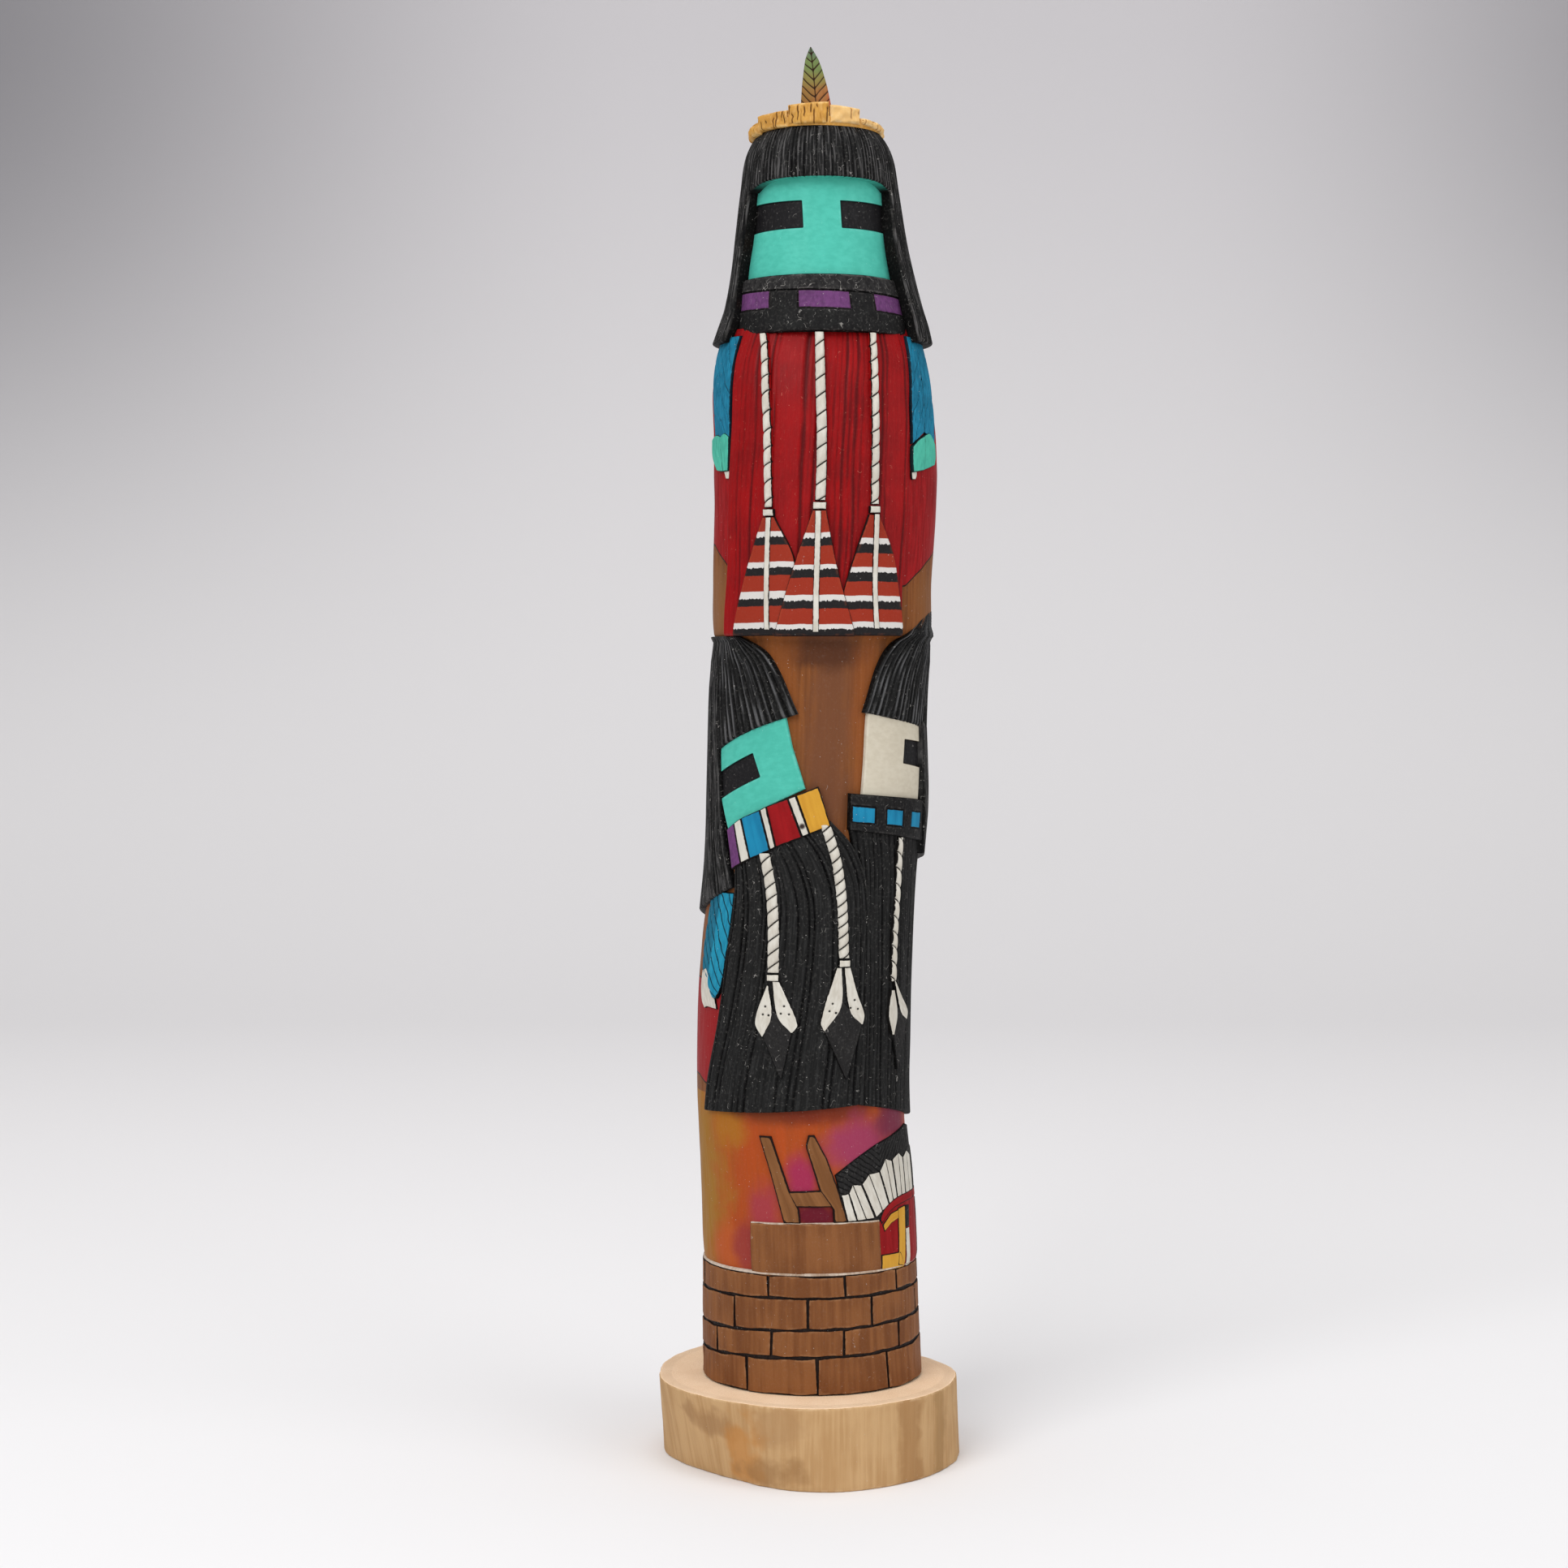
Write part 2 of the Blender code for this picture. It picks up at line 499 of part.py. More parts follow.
def main():
    for obj in list(bpy.data.objects):
        bpy.data.objects.remove(obj, do_unlink=True)
    raised = bpy.data.collections.new("carving")
    cut = bpy.data.collections.new("cuts")
    for collection in (raised, cut):
        bpy.context.scene.collection.children.link(collection)
    figure = round_body("carved_figure", TRUNK, [row[0] for row in TRUNK])
    upper_figure(raised, cut)
    left_head(raised, cut)
    right_head(raised, cut)
    lower_cords(raised)
    evening_panel(raised)
    brick_wall(raised, cut)
    crown(raised, cut)
    combine(figure, raised, "UNION")
    combine(figure, cut, "DIFFERENCE")
    finish_with(figure, (0.30, 0.09, 0.02), 0.6)
    finish_with(crown_feather(), (0.22, 0.26, 0.10), 0.6)
    finish_with(base_slab(), (0.62, 0.40, 0.20), 0.7)


main()
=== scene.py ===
"""Looks of a carved and painted kachina doll that stands on a slice of wood.

The carved figure is dressed in sheets: slabs of relief laid on round forms
between lanes, which are outline curves given by a few (bearing, height) points.
Bearing 0 faces the front (-Y) and grows towards +X, in degrees. Heights, lifts
and widths are in carving units: one is a millimetre on a figure 403 mm high.
"""
import logging
import math
import random
from dataclasses import dataclass, field, replace
from enum import Enum
from typing import Sequence

import bpy
import numpy as np
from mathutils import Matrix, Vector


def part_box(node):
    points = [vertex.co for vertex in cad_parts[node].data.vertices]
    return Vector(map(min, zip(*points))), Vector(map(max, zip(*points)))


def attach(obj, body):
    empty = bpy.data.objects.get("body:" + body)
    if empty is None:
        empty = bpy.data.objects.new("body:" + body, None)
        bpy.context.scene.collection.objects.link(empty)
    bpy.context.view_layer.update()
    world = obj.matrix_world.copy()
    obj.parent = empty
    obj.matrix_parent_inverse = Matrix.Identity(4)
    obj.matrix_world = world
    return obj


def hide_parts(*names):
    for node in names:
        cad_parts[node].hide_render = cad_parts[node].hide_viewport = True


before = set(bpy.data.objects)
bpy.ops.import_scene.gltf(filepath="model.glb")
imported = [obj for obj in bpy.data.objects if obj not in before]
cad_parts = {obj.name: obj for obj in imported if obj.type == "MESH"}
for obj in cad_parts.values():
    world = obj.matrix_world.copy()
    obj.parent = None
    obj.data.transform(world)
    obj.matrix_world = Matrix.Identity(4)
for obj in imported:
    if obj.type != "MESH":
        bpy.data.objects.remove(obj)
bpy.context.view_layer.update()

LOG = logging.getLogger("doll")
MM = 0.001
FIGURE_LOW, FIGURE_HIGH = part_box("carved_figure")
FIGURE_UNITS = 403.2
FOOT = FIGURE_LOW[2]
UNIT = (FIGURE_HIGH[2] - FIGURE_LOW[2]) / FIGURE_UNITS
FAR = 1.0e3
TINY = 1.0e-3
PROBES = 9
SEED_GAP = 3.7
SHARP_ANGLE = math.radians(50.0)

Colour = tuple[int, int, int]
Carved = tuple[np.ndarray, np.ndarray]
Face = tuple[int, ...]
Objects = list[bpy.types.Object]
Points = Sequence[tuple[float, float]]
Socket = bpy.types.NodeSocket


def linear(colour: Colour) -> tuple[float, ...]:
    """Colour that a shader takes, of a paint given as 0 to 255 screen values.

    Args:
        colour: The paint's red, green and blue.

    Returns:
        The linear colour, with an opaque fourth value.
    """
    shares = [value / 255.0 for value in colour]
    return (*(s / 12.92 if s <= 0.04045 else ((s + 0.055) / 1.055) ** 2.4 for s in shares), 1.0)


def hermite(knots: Sequence[float], values: np.ndarray, at: np.ndarray) -> np.ndarray:
    """Smooth curve through knots.

    Args:
        knots: Rising places of the values.
        values: One value, or one array of values, for each knot.
        at: Places that are asked for.

    Returns:
        The values at those places.
    """
    knots = np.asarray(knots, float)
    values = np.asarray(values, float)
    at = np.clip(at, knots[0], knots[-1])
    index = np.clip(np.searchsorted(knots, at, side="right") - 1, 0, len(knots) - 2)
    shape = (-1,) + (1,) * (values.ndim - 1)
    slope = np.empty_like(values)
    slope[1:-1] = (values[2:] - values[:-2]) / (knots[2:] - knots[:-2]).reshape(shape)
    slope[0] = (values[1] - values[0]) / (knots[1] - knots[0])
    slope[-1] = (values[-1] - values[-2]) / (knots[-1] - knots[-2])
    extra = (1,) * (values.ndim - 1)
    span = (knots[index + 1] - knots[index]).reshape(index.shape + extra)
    t = ((at - knots[index]) / (knots[index + 1] - knots[index])).reshape(index.shape + extra)
    return (
        (2 * t**3 - 3 * t**2 + 1) * values[index]
        + (t**3 - 2 * t**2 + t) * span * slope[index]
        + (3 * t**2 - 2 * t**3) * values[index + 1]
        + (t**3 - t**2) * span * slope[index + 1]
    )


def straight(knots: Sequence[float], values: np.ndarray, at: np.ndarray) -> np.ndarray:
    """Straight runs between knots.

    Args:
        knots: Rising places of the values.
        values: One value, or one array of values, for each knot.
        at: Places that are asked for.

    Returns:
        The values at those places.
    """
    knots = np.asarray(knots, float)
    values = np.asarray(values, float)
    at = np.clip(at, knots[0], knots[-1])
    index = np.clip(np.searchsorted(knots, at, side="right") - 1, 0, len(knots) - 2)
    t = (at - knots[index]) / (knots[index + 1] - knots[index])
    t = t.reshape(index.shape + (1,) * (values.ndim - 1))
    return values[index] * (1 - t) + values[index + 1] * t


def noise(x: np.ndarray, y: np.ndarray, seed: int = 0) -> np.ndarray:
    """Smooth repeatable noise.

    Args:
        x, y: Places; the noise changes once per unit.
        seed: Picks one of many patterns.

    Returns:
        Values from 0 to 1.
    """
    column, row = np.floor(x).astype(np.int64), np.floor(y).astype(np.int64)
    fx, fy = x - column, y - row
    fx, fy = fx * fx * (3 - 2 * fx), fy * fy * (3 - 2 * fy)

    def corner(i: np.ndarray, j: np.ndarray) -> np.ndarray:
        """Random value of one corner of the lattice."""
        mixed = (i * 374761393 + j * 668265263 + seed * 974634777) & 0x7FFFFFFF
        mixed = ((mixed ^ (mixed >> 13)) * 1274126177) & 0x7FFFFFFF
        return ((mixed ^ (mixed >> 16)) & 0xFFFF) / 65535.0

    low = corner(column, row) * (1 - fx) + corner(column + 1, row) * fx
    high = corner(column, row + 1) * (1 - fx) + corner(column + 1, row + 1) * fx
    return low * (1 - fy) + high * fy


def running(steps: Sequence[float]) -> np.ndarray:
    """Distances from the start after each step, with 0 in front."""
    return np.concatenate([[0.0], np.cumsum(steps)])


def graded(length: float, step: float, marks: Sequence[float], rim: float) -> np.ndarray:
    """Places along a length, closer together beside the marks.

    Args:
        length: Whole length.
        step: Largest distance between places.
        marks: Places that are kept exactly and get close neighbours.
        rim: How far from a mark the close neighbours reach.

    Returns:
        Rising places from 0 to the length.
    """
    places = set()
    for mark in marks:
        for share in (0.0, 0.15, 0.4, 0.7, 1.0):
            for side in (-1, 1):
                place = mark + side * share * rim
                if -1e-6 <= place <= length + 1e-6:
                    places.add(round(min(max(place, 0.0), length), 4))
    fixed = sorted(places)
    for low, high in zip(fixed, fixed[1:]):
        count = math.ceil((high - low) / step)
        places.update(low + (high - low) * k / count for k in range(1, count))
    return np.array(sorted(places))


def ringed(rows: int, count: int) -> list[Face]:
    """Faces of a stack of rings that is closed at both ends.

    Args:
        rows: How many rings there are.
        count: Points in each ring.

    Returns:
        The faces: row by row, then the lower end and the upper end.
    """
    number = np.arange(rows * count).reshape(rows, count)
    after = np.roll(number, -1, axis=1)
    quads = np.stack([number[:-1], after[:-1], after[1:], number[1:]], axis=-1)
    ends = [number[0, ::-1], number[-1]]
    return [tuple(face.tolist()) for face in [*quads.reshape(-1, 4), *ends]]


class Wiring:
    """Short way to write the nodes of a material or a node group."""

    def __init__(self, tree: bpy.types.NodeTree) -> None:
        """Keep the tree that the nodes go into."""
        self.tree = tree

    def node(self, kind: str, **settings: object) -> bpy.types.Node:
        """Add a node.

        Args:
            kind: Blender's name of the node's type.
            settings: Properties to set on it.

        Returns:
            The new node.
        """
        made = self.tree.nodes.new(kind)
        for name, value in settings.items():
            setattr(made, name, value)
        return made

    def feed(self, socket: Socket, value: object) -> None:
        """Link a socket to another socket, or set it to a plain value.

        Args:
            socket: The input to fill.
            value: A socket, a number, a vector or a colour.
        """
        if isinstance(value, bpy.types.NodeSocket):
            self.tree.links.new(value, socket)
        elif socket.type == "RGBA":
            socket.default_value = linear(value)
        else:
            socket.default_value = value

    def math(self, operation: str, first: object, second: object = 0.0, clamp: bool = False) -> Socket:
        """Arithmetic on two values.

        Args:
            operation: Blender's name of the operation.
            first, second: Sockets or numbers.
            clamp: Keep the result from 0 to 1.

        Returns:
            The result's socket.
        """
        made = self.node("ShaderNodeMath", operation=operation, use_clamp=clamp)
        self.feed(made.inputs[0], first)
        self.feed(made.inputs[1], second)
        return made.outputs[0]

    def times(self, first: object, second: object, clamp: bool = False) -> Socket:
        """Product of two values."""
        return self.math("MULTIPLY", first, second, clamp)

    def plus(self, first: object, second: object, clamp: bool = False) -> Socket:
        """Sum of two values."""
        return self.math("ADD", first, second, clamp)

    def mix(self, share: object, first: object, second: object) -> Socket:
        """Colour between two colours.

        Args:
            share: How much of the second one.
            first, second: Sockets or colours.

        Returns:
            The mixed colour's socket.
        """
        made = self.node("ShaderNodeMix", data_type="RGBA")
        self.feed(made.inputs[0], share)
        self.feed(made.inputs[6], first)
        self.feed(made.inputs[7], second)
        return made.outputs[2]

    def span(self, value: object, low: float, high: float, start: float = 0.0, end: float = 1.0) -> Socket:
        """Smooth step of a value from one range to another.

        Args:
            value: Socket to map.
            low, high: Range that is read.
            start, end: Range that comes out.

        Returns:
            The mapped value's socket.
        """
        made = self.node("ShaderNodeMapRange", interpolation_type="SMOOTHSTEP")
        for slot, entry in enumerate((value, low, high, start, end)):
            self.feed(made.inputs[slot], entry)
        return made.outputs[0]

    def scaled(self, vector: Socket, factors: tuple[float, float, float]) -> Socket:
        """Vector with each part multiplied by its own factor."""
        made = self.node("ShaderNodeVectorMath", operation="MULTIPLY")
        self.feed(made.inputs[0], vector)
        self.feed(made.inputs[1], factors)
        return made.outputs[0]

    def cloud(self, vector: Socket, scale: object, detail: float = 2.0) -> Socket:
        """Noise value at a vector.

        Args:
            vector: Place that is read.
            scale: How often the noise changes.
            detail: How many finer layers it has.

        Returns:
            The noise's socket, about 0.5 on average.
        """
        made = self.node("ShaderNodeTexNoise")
        self.feed(made.inputs["Vector"], vector)
        self.feed(made.inputs["Scale"], scale)
        made.inputs["Detail"].default_value = detail
        return made.outputs[0]

    def part(self, vector: Socket, name: str) -> Socket:
        """One part of a vector, X, Y or Z."""
        made = self.node("ShaderNodeSeparateXYZ")
        self.feed(made.inputs[0], vector)
        return made.outputs[name]

    def read(self, name: str, output: str) -> Socket:
        """Value that the mesh stores under a name."""
        return self.node("ShaderNodeAttribute", attribute_name=name).outputs[output]


class Effect(Enum):
    """Effects that several finishes share, each one node group."""

    BRUSH = "brush_strokes"
    DUST = "settled_dust"
    BURNT = "burnt_outline"
    WEAR = "worn_and_lit_edge"
    GRAIN = "wood_grain"

    def place(self, wiring: Wiring, **values: object) -> Socket:
        """Put the effect's group into a material.

        Args:
            wiring: The material's wiring.
            values: The group's inputs by name.

        Returns:
            The socket of the group's result.
        """
        tree = bpy.data.node_groups.get(self.value) or self._make()
        made = wiring.node("ShaderNodeGroup", node_tree=tree)
        for name, value in values.items():
            wiring.feed(made.inputs[name], value)
        return made.outputs["Value"]

    def _make(self) -> bpy.types.NodeTree:
        """Build the effect's node group."""
        tree = bpy.data.node_groups.new(self.value, "ShaderNodeTree")
        numbers = {
            Effect.BRUSH: ("Fineness", "Stretch"), Effect.DUST: ("Amount",),
            Effect.BURNT: ("Rim", "Width"), Effect.WEAR: ("Rim", "Tone", "Amount"),
            Effect.GRAIN: ("Fineness",),
        }
        tree.interface.new_socket("Vector", in_out="INPUT", socket_type="NodeSocketVector")
        for name in numbers[self]:
            tree.interface.new_socket(name, in_out="INPUT", socket_type="NodeSocketFloat")
        tree.interface.new_socket("Value", in_out="OUTPUT", socket_type="NodeSocketFloat")
        wiring = Wiring(tree)
        entry = wiring.node("NodeGroupInput")
        leave = wiring.node("NodeGroupOutput")
        wiring.feed(leave.inputs["Value"], getattr(self, "_" + self.name.lower())(wiring, entry.outputs))
        return tree

    @staticmethod
    def _brush(w: Wiring, given: bpy.types.NodeOutputs) -> Socket:
        """Streaks that run along a sheet."""
        run = w.node("ShaderNodeCombineXYZ")
        w.feed(run.inputs[0], w.times(w.part(given["Vector"], "X"), given["Fineness"]))
        shrunk = w.math("DIVIDE", given["Fineness"], given["Stretch"])
        w.feed(run.inputs[1], w.times(w.part(given["Vector"], "Y"), shrunk))
        w.feed(run.inputs[2], w.part(given["Vector"], "Z"))
        return w.cloud(run.outputs[0], 1.0, 3.0)

    @staticmethod
    def _dust(w: Wiring, given: bpy.types.NodeOutputs) -> Socket:
        """Small pale specks, denser in some places."""
        cells = w.node("ShaderNodeTexVoronoi")
        w.feed(cells.inputs["Vector"], given["Vector"])
        cells.inputs["Scale"].default_value = 0.9
        tint = cells.outputs["Color"]
        size = w.times(w.part(tint, "Y"), 0.11)
        spot = w.math("LESS_THAN", cells.outputs["Distance"], size)
        dense = w.plus(w.part(tint, "X"), w.cloud(given["Vector"], 0.06))
        chosen = w.math("GREATER_THAN", w.plus(dense, given["Amount"]), 1.2)
        line = w.math("ABSOLUTE", w.math("SUBTRACT", w.cloud(given["Vector"], 0.32, 1.0), 0.5))
        fibre = w.span(line, 0.010, 0.004)
        short = w.plus(w.cloud(w.scaled(given["Vector"], (1.0, 1.0, 0.6)), 0.55), given["Amount"])
        fibre = w.times(fibre, w.span(short, 0.74, 0.80))
        film = w.times(w.span(w.cloud(given["Vector"], 1.3, 4.0), 0.50, 0.9), given["Amount"])
        specks = w.math("MAXIMUM", w.times(spot, chosen), w.times(fibre, 0.5))
        return w.math("MAXIMUM", specks, w.times(film, 0.8))

    @staticmethod
    def _burnt(w: Wiring, given: bpy.types.NodeOutputs) -> Socket:
        """Dark line beside an edge, a little uneven."""
        uneven = w.times(w.math("SUBTRACT", w.cloud(given["Vector"], 0.7), 0.5), 0.35)
        share = w.math("DIVIDE", w.plus(given["Rim"], uneven), given["Width"])
        return w.span(share, 1.25, 0.7)

    @staticmethod
    def _wear(w: Wiring, given: bpy.types.NodeOutputs) -> Socket:
        """Lighter colour near an edge and on high places: rubbed paint and painted highlight."""
        near = w.span(given["Rim"], 1.1, 0.2)
        high = w.times(near, w.span(given["Tone"], 0.5, 1.0))
        patches = w.span(w.cloud(given["Vector"], 0.45, 4.0), 0.44, 0.62)
        return w.times(w.times(high, patches), given["Amount"], clamp=True)

    @staticmethod
    def _grain(w: Wiring, given: bpy.types.NodeOutputs) -> Socket:
        """Long fibres of wood with softer bands between them."""
        fibres = w.scaled(given["Vector"], (1.0, 0.05, 1.0))
        fine = w.cloud(fibres, given["Fineness"], 4.0)
        bands = w.cloud(w.scaled(given["Vector"], (0.35, 0.02, 1.0)), given["Fineness"], 1.0)
        return w.plus(w.times(fine, 0.6), w.times(bands, 0.4))


@dataclass(frozen=True)
class Marks:
    """Values that every finish reads from its mesh."""

    lay: Socket
    spot: Socket
    paint: Socket
    tone: Socket
    rim: Socket
    body: Socket
    brush: Socket


@dataclass(frozen=True)
class Blush:
    """Soft patch of another colour on a painted ground.

    Its place and half sizes are a bearing in degrees and a height in units.
    """

    bearing: float
    height: float
    wide: float
    tall: float
    colour: Colour
    strength: float = 1.0


@dataclass(frozen=True)
class Finish:
    """Brushed paint or bare wood, with burnt outlines, wear with painted highlight on edges, and dust."""

    name: str
    base: Colour
    shade: Colour
    groove: Colour = (22, 16, 14)
    ridge: Colour = (200, 195, 185)
    ridge_share: float = 0.0
    burnt: float = 0.0
    dust: float = 0.1
    wear: float = 0.0
    worn_and_lit: Colour = (190, 160, 125)
    fineness: float = 1.0
    stretch: float = 8.0
    roughness: float = 0.62
    bump: float = 0.25
    bump_depth: float = 0.3 * MM
    dust_cover: float = 0.7
    dusty: Colour = (196, 192, 186)
    gloss: float = 0.12

    def paint(self, w: Wiring, marks: Marks) -> Socket:
        """Colour of the ground before outlines, wear and dust.

        Args:
            w: The material's wiring.
            marks: Values read from the mesh.

        Returns:
            The colour's socket.
        """
        patches = w.cloud(marks.body, 0.09, 3.0)
        share = w.plus(w.times(marks.brush, 0.6), w.times(patches, 0.4))
        return w.mix(w.span(share, 0.36, 0.64), self.base, self.shade)

    def material(self) -> bpy.types.Material:
        """Build the material once.

        Returns:
            The material of this finish.
        """
        known = bpy.data.materials.get(self.name)
        if known:
            return known
        made = bpy.data.materials.new(self.name)
        made.use_nodes = True
        w = Wiring(made.node_tree)
        lay = w.read("lay", "Vector")
        body = w.scaled(w.node("ShaderNodeTexCoord").outputs["Object"], (1000.0, 1000.0, 1000.0))
        brush = Effect.BRUSH.place(w, Vector=lay, Fineness=self.fineness, Stretch=self.stretch)
        marks = Marks(
            lay, w.read("spot", "Vector"), w.read("paint", "Vector"), w.read("tone", "Fac"),
            w.read("rim", "Fac"), body, brush,
        )
        # Low tone turns the colour towards the groove colour: burnt and painted lines in cords, barbs,
        # strokes, pits and scores, and painted shade in the grooves of hair and beard strands and of the
        # slab's flutes.
        colour = w.mix(w.span(marks.tone, 0.75, 0.15), self.paint(w, marks), self.groove)
        # Ridge colour on the high places of the relief: dry-brushed paint, and painted highlight where the
        # ridges catch the light.
        if self.ridge_share > 0.0:
            high = w.times(w.span(marks.tone, 0.55, 1.0), w.span(brush, 0.42, 0.66))
            colour = w.mix(w.times(high, self.ridge_share), colour, self.ridge)
        # Rims and high places go lighter: rubbed paint, and painted highlight where the edges catch the
        # light.
        if self.wear > 0.0:
            rubbed = Effect.WEAR.place(w, Vector=body, Rim=marks.rim, Tone=marks.tone, Amount=self.wear)
            colour = w.mix(rubbed, colour, self.worn_and_lit)
        if self.burnt > 0.0:
            line = Effect.BURNT.place(w, Vector=body, Rim=marks.rim, Width=self.burnt)
            colour = w.mix(line, colour, self.groove)
        if self.dust > 0.0:
            specks = Effect.DUST.place(w, Vector=body, Amount=self.dust)
            colour = w.mix(w.times(specks, self.dust_cover), colour, self.dusty)
        shader = made.node_tree.nodes["Principled BSDF"]
        w.feed(shader.inputs["Base Color"], colour)
        rough = w.span(brush, 0.2, 0.8, self.roughness - 0.1, self.roughness + 0.1)
        w.feed(shader.inputs["Roughness"], rough)
        shader.inputs["Specular IOR Level"].default_value = self.gloss
        lumps = w.times(w.cloud(body, 1.6, 3.0), 0.3)
        height = w.plus(w.times(brush, 0.7), lumps)
        bump = w.node("ShaderNodeBump")
        bump.inputs["Strength"].default_value = self.bump
        bump.inputs["Distance"].default_value = self.bump_depth
        w.feed(bump.inputs["Height"], height)
        w.feed(shader.inputs["Normal"], bump.outputs[0])
        return made


@dataclass(frozen=True)
class Banded(Finish):
    """Paint in bands of height, some with ragged, brushed edges.

    Each band is the height of its upper edge, its colour and how far that edge
    is ragged, from the top down.
    """

    bands: tuple[tuple[float, Colour, float], ...] = ()

    def paint(self, w: Wiring, marks: Marks) -> Socket:
        """Colour of the bands.

        Args:
            w: The material's wiring.
            marks: Values read from the mesh.

        Returns:
            The colour's socket.
        """
        comb = w.math("SUBTRACT", w.cloud(w.scaled(marks.body, (1.7, 0.3, 0.05)), 1.0, 2.0), 0.5)
        slow = w.math("SUBTRACT", w.cloud(w.scaled(marks.body, (0.12, 0.1, 0.02)), 1.0, 1.0), 0.5)
        place = w.plus(w.part(marks.spot, "Y"), slow)
        colour = super().paint(w, marks)
        for height, tint, ragged in self.bands:
            edge = w.plus(place, w.times(comb, ragged))
            colour = w.mix(w.span(edge, height + 0.1, height - 0.1), colour, tint)
        return colour


@dataclass(frozen=True)
class Blushed(Finish):
    """Paint with soft patches of other colours."""

    blushes: tuple[Blush, ...] = ()

    def paint(self, w: Wiring, marks: Marks) -> Socket:
        """Colour of the ground and its patches."""
        return self.blend(w, marks, super().paint(w, marks), self.blushes)

    @staticmethod
    def blend(w: Wiring, marks: Marks, colour: Socket, blushes: Sequence[Blush],
              ragged: float = 1.1) -> Socket:
        """Lay soft patches over a colour.

        Args:
            w: The material's wiring.
            marks: Values read from the mesh.
            colour: The ground's colour.
            blushes: The patches, later ones on top.
            ragged: How far their edges wander.

        Returns:
            The blended colour's socket.
        """
        uneven = w.times(w.math("SUBTRACT", w.cloud(marks.body, 0.12, 3.0), 0.5), ragged)
        bearing, height = w.part(marks.spot, "X"), w.part(marks.spot, "Y")
        for blush in blushes:
            across = w.math("DIVIDE", w.math("SUBTRACT", bearing, blush.bearing), blush.wide)
            up = w.math("DIVIDE", w.math("SUBTRACT", height, blush.height), blush.tall)
            away = w.plus(w.times(across, across), w.times(up, up))
            share = w.span(w.plus(w.math("SQRT", away), uneven), 1.45, 0.45, 0.0, blush.strength)
            colour = w.mix(share, colour, blush.colour)
        return colour


@dataclass(frozen=True)
class TrunkFinish(Blushed):
    """Stained wood with a painted robe, a red patch and an evening sky."""

    robe: tuple[Colour, Colour] = ((158, 14, 20), (120, 10, 15))
    patch: Colour = (150, 30, 32)
    sky: Colour = (196, 82, 30)
    sky_blushes: tuple[Blush, ...] = ()
    outline: float = 0.28

    def paint(self, w: Wiring, marks: Marks) -> Socket:
        """Colour of the bare wood and of what is painted on it.

        Args:
            w: The material's wiring.
            marks: Values read from the mesh.

        Returns:
            The colour's socket.
        """
        grain = Effect.GRAIN.place(w, Vector=marks.lay, Fineness=0.9)
        wood = w.mix(w.span(grain, 0.35, 0.65), self.base, self.shade)
        wood = self.blend(w, marks, wood, self.blushes)
        sky = w.mix(w.span(grain, 0.3, 0.7, 0.0, 0.25), self.sky, self.shade)
        sky = self.blend(w, marks, sky, self.sky_blushes)
        robe = w.mix(w.span(marks.brush, 0.35, 0.65), self.robe[0], self.robe[1])
        colour = wood
        for name, tint in (("Z", sky), ("Y", self.patch), ("X", robe)):
            place = w.part(marks.paint, name)
            colour = w.mix(w.span(place, -0.08, 0.08), colour, tint)
            if name != "Z":
                line = w.math("ABSOLUTE", place)
                colour = w.mix(w.span(line, self.outline * 1.3, self.outline * 0.6), colour, self.groove)
        return colour


@dataclass(frozen=True)
class WoodFinish(Finish):
    """Plain wood with its grain along the sheet."""

    grain: float = 0.8

    def paint(self, w: Wiring, marks: Marks) -> Socket:
        """Colour of the wood's grain.

        Args:
            w: The material's wiring.
            marks: Values read from the mesh.

        Returns:
            The colour's socket.
        """
        grain = Effect.GRAIN.place(w, Vector=marks.lay, Fineness=self.grain)
        patches = w.times(w.math("SUBTRACT", w.cloud(marks.body, 0.07, 2.0), 0.5), 0.5)
        return w.mix(w.span(w.plus(grain, patches), 0.34, 0.66), self.base, self.shade)


@dataclass(frozen=True)
class BarkedFinish(WoodFinish):
    """Wood whose grain carries soft, ragged stains."""

    blushes: tuple[Blush, ...] = ()
    ragged: float = 3.4

    def paint(self, w: Wiring, marks: Marks) -> Socket:
        """Colour of the grain and its stains."""
        return Blushed.blend(w, marks, super().paint(w, marks), self.blushes, self.ragged)


HAIR = Finish(
    "black_hair", (24, 24, 24), (17, 17, 17), (5, 5, 6), (124, 122, 122), 0.38,
    dust=0.17, wear=0.15, worn_and_lit=(84, 80, 76), fineness=1.5, stretch=10.0, roughness=0.66,
    gloss=0.08,
)
CAP_HAIR = replace(
    HAIR, name="ridged_black_hair", groove=(5, 5, 5), ridge=(128, 128, 130), ridge_share=0.42, dust=0.16,
    wear=0.12, fineness=0.8, roughness=0.64, gloss=0.1,
)
# Darker copy of the black hair for the curtain's inner walls: painted shade in the gap beside the face.
SHADED_HAIR_INSIDE = Finish("hair_inside_painted_shade", (18, 18, 18), (12, 12, 12), dust=0.14, gloss=0.05)
BEARD = replace(
    HAIR, name="black_beard", base=(27, 27, 27), shade=(20, 20, 20), ridge=(76, 76, 76), ridge_share=0.22,
    dust=0.16, wear=0.12, worn_and_lit=(80, 78, 74), stretch=12.0, roughness=0.64,
)
BLACK = Finish(
    "black_paint", (27, 27, 27), (21, 20, 21), (6, 6, 6), burnt=0.3, dust=0.17, wear=0.3,
    worn_and_lit=(88, 84, 82), fineness=0.8, stretch=3.0, roughness=0.6, gloss=0.1,
)
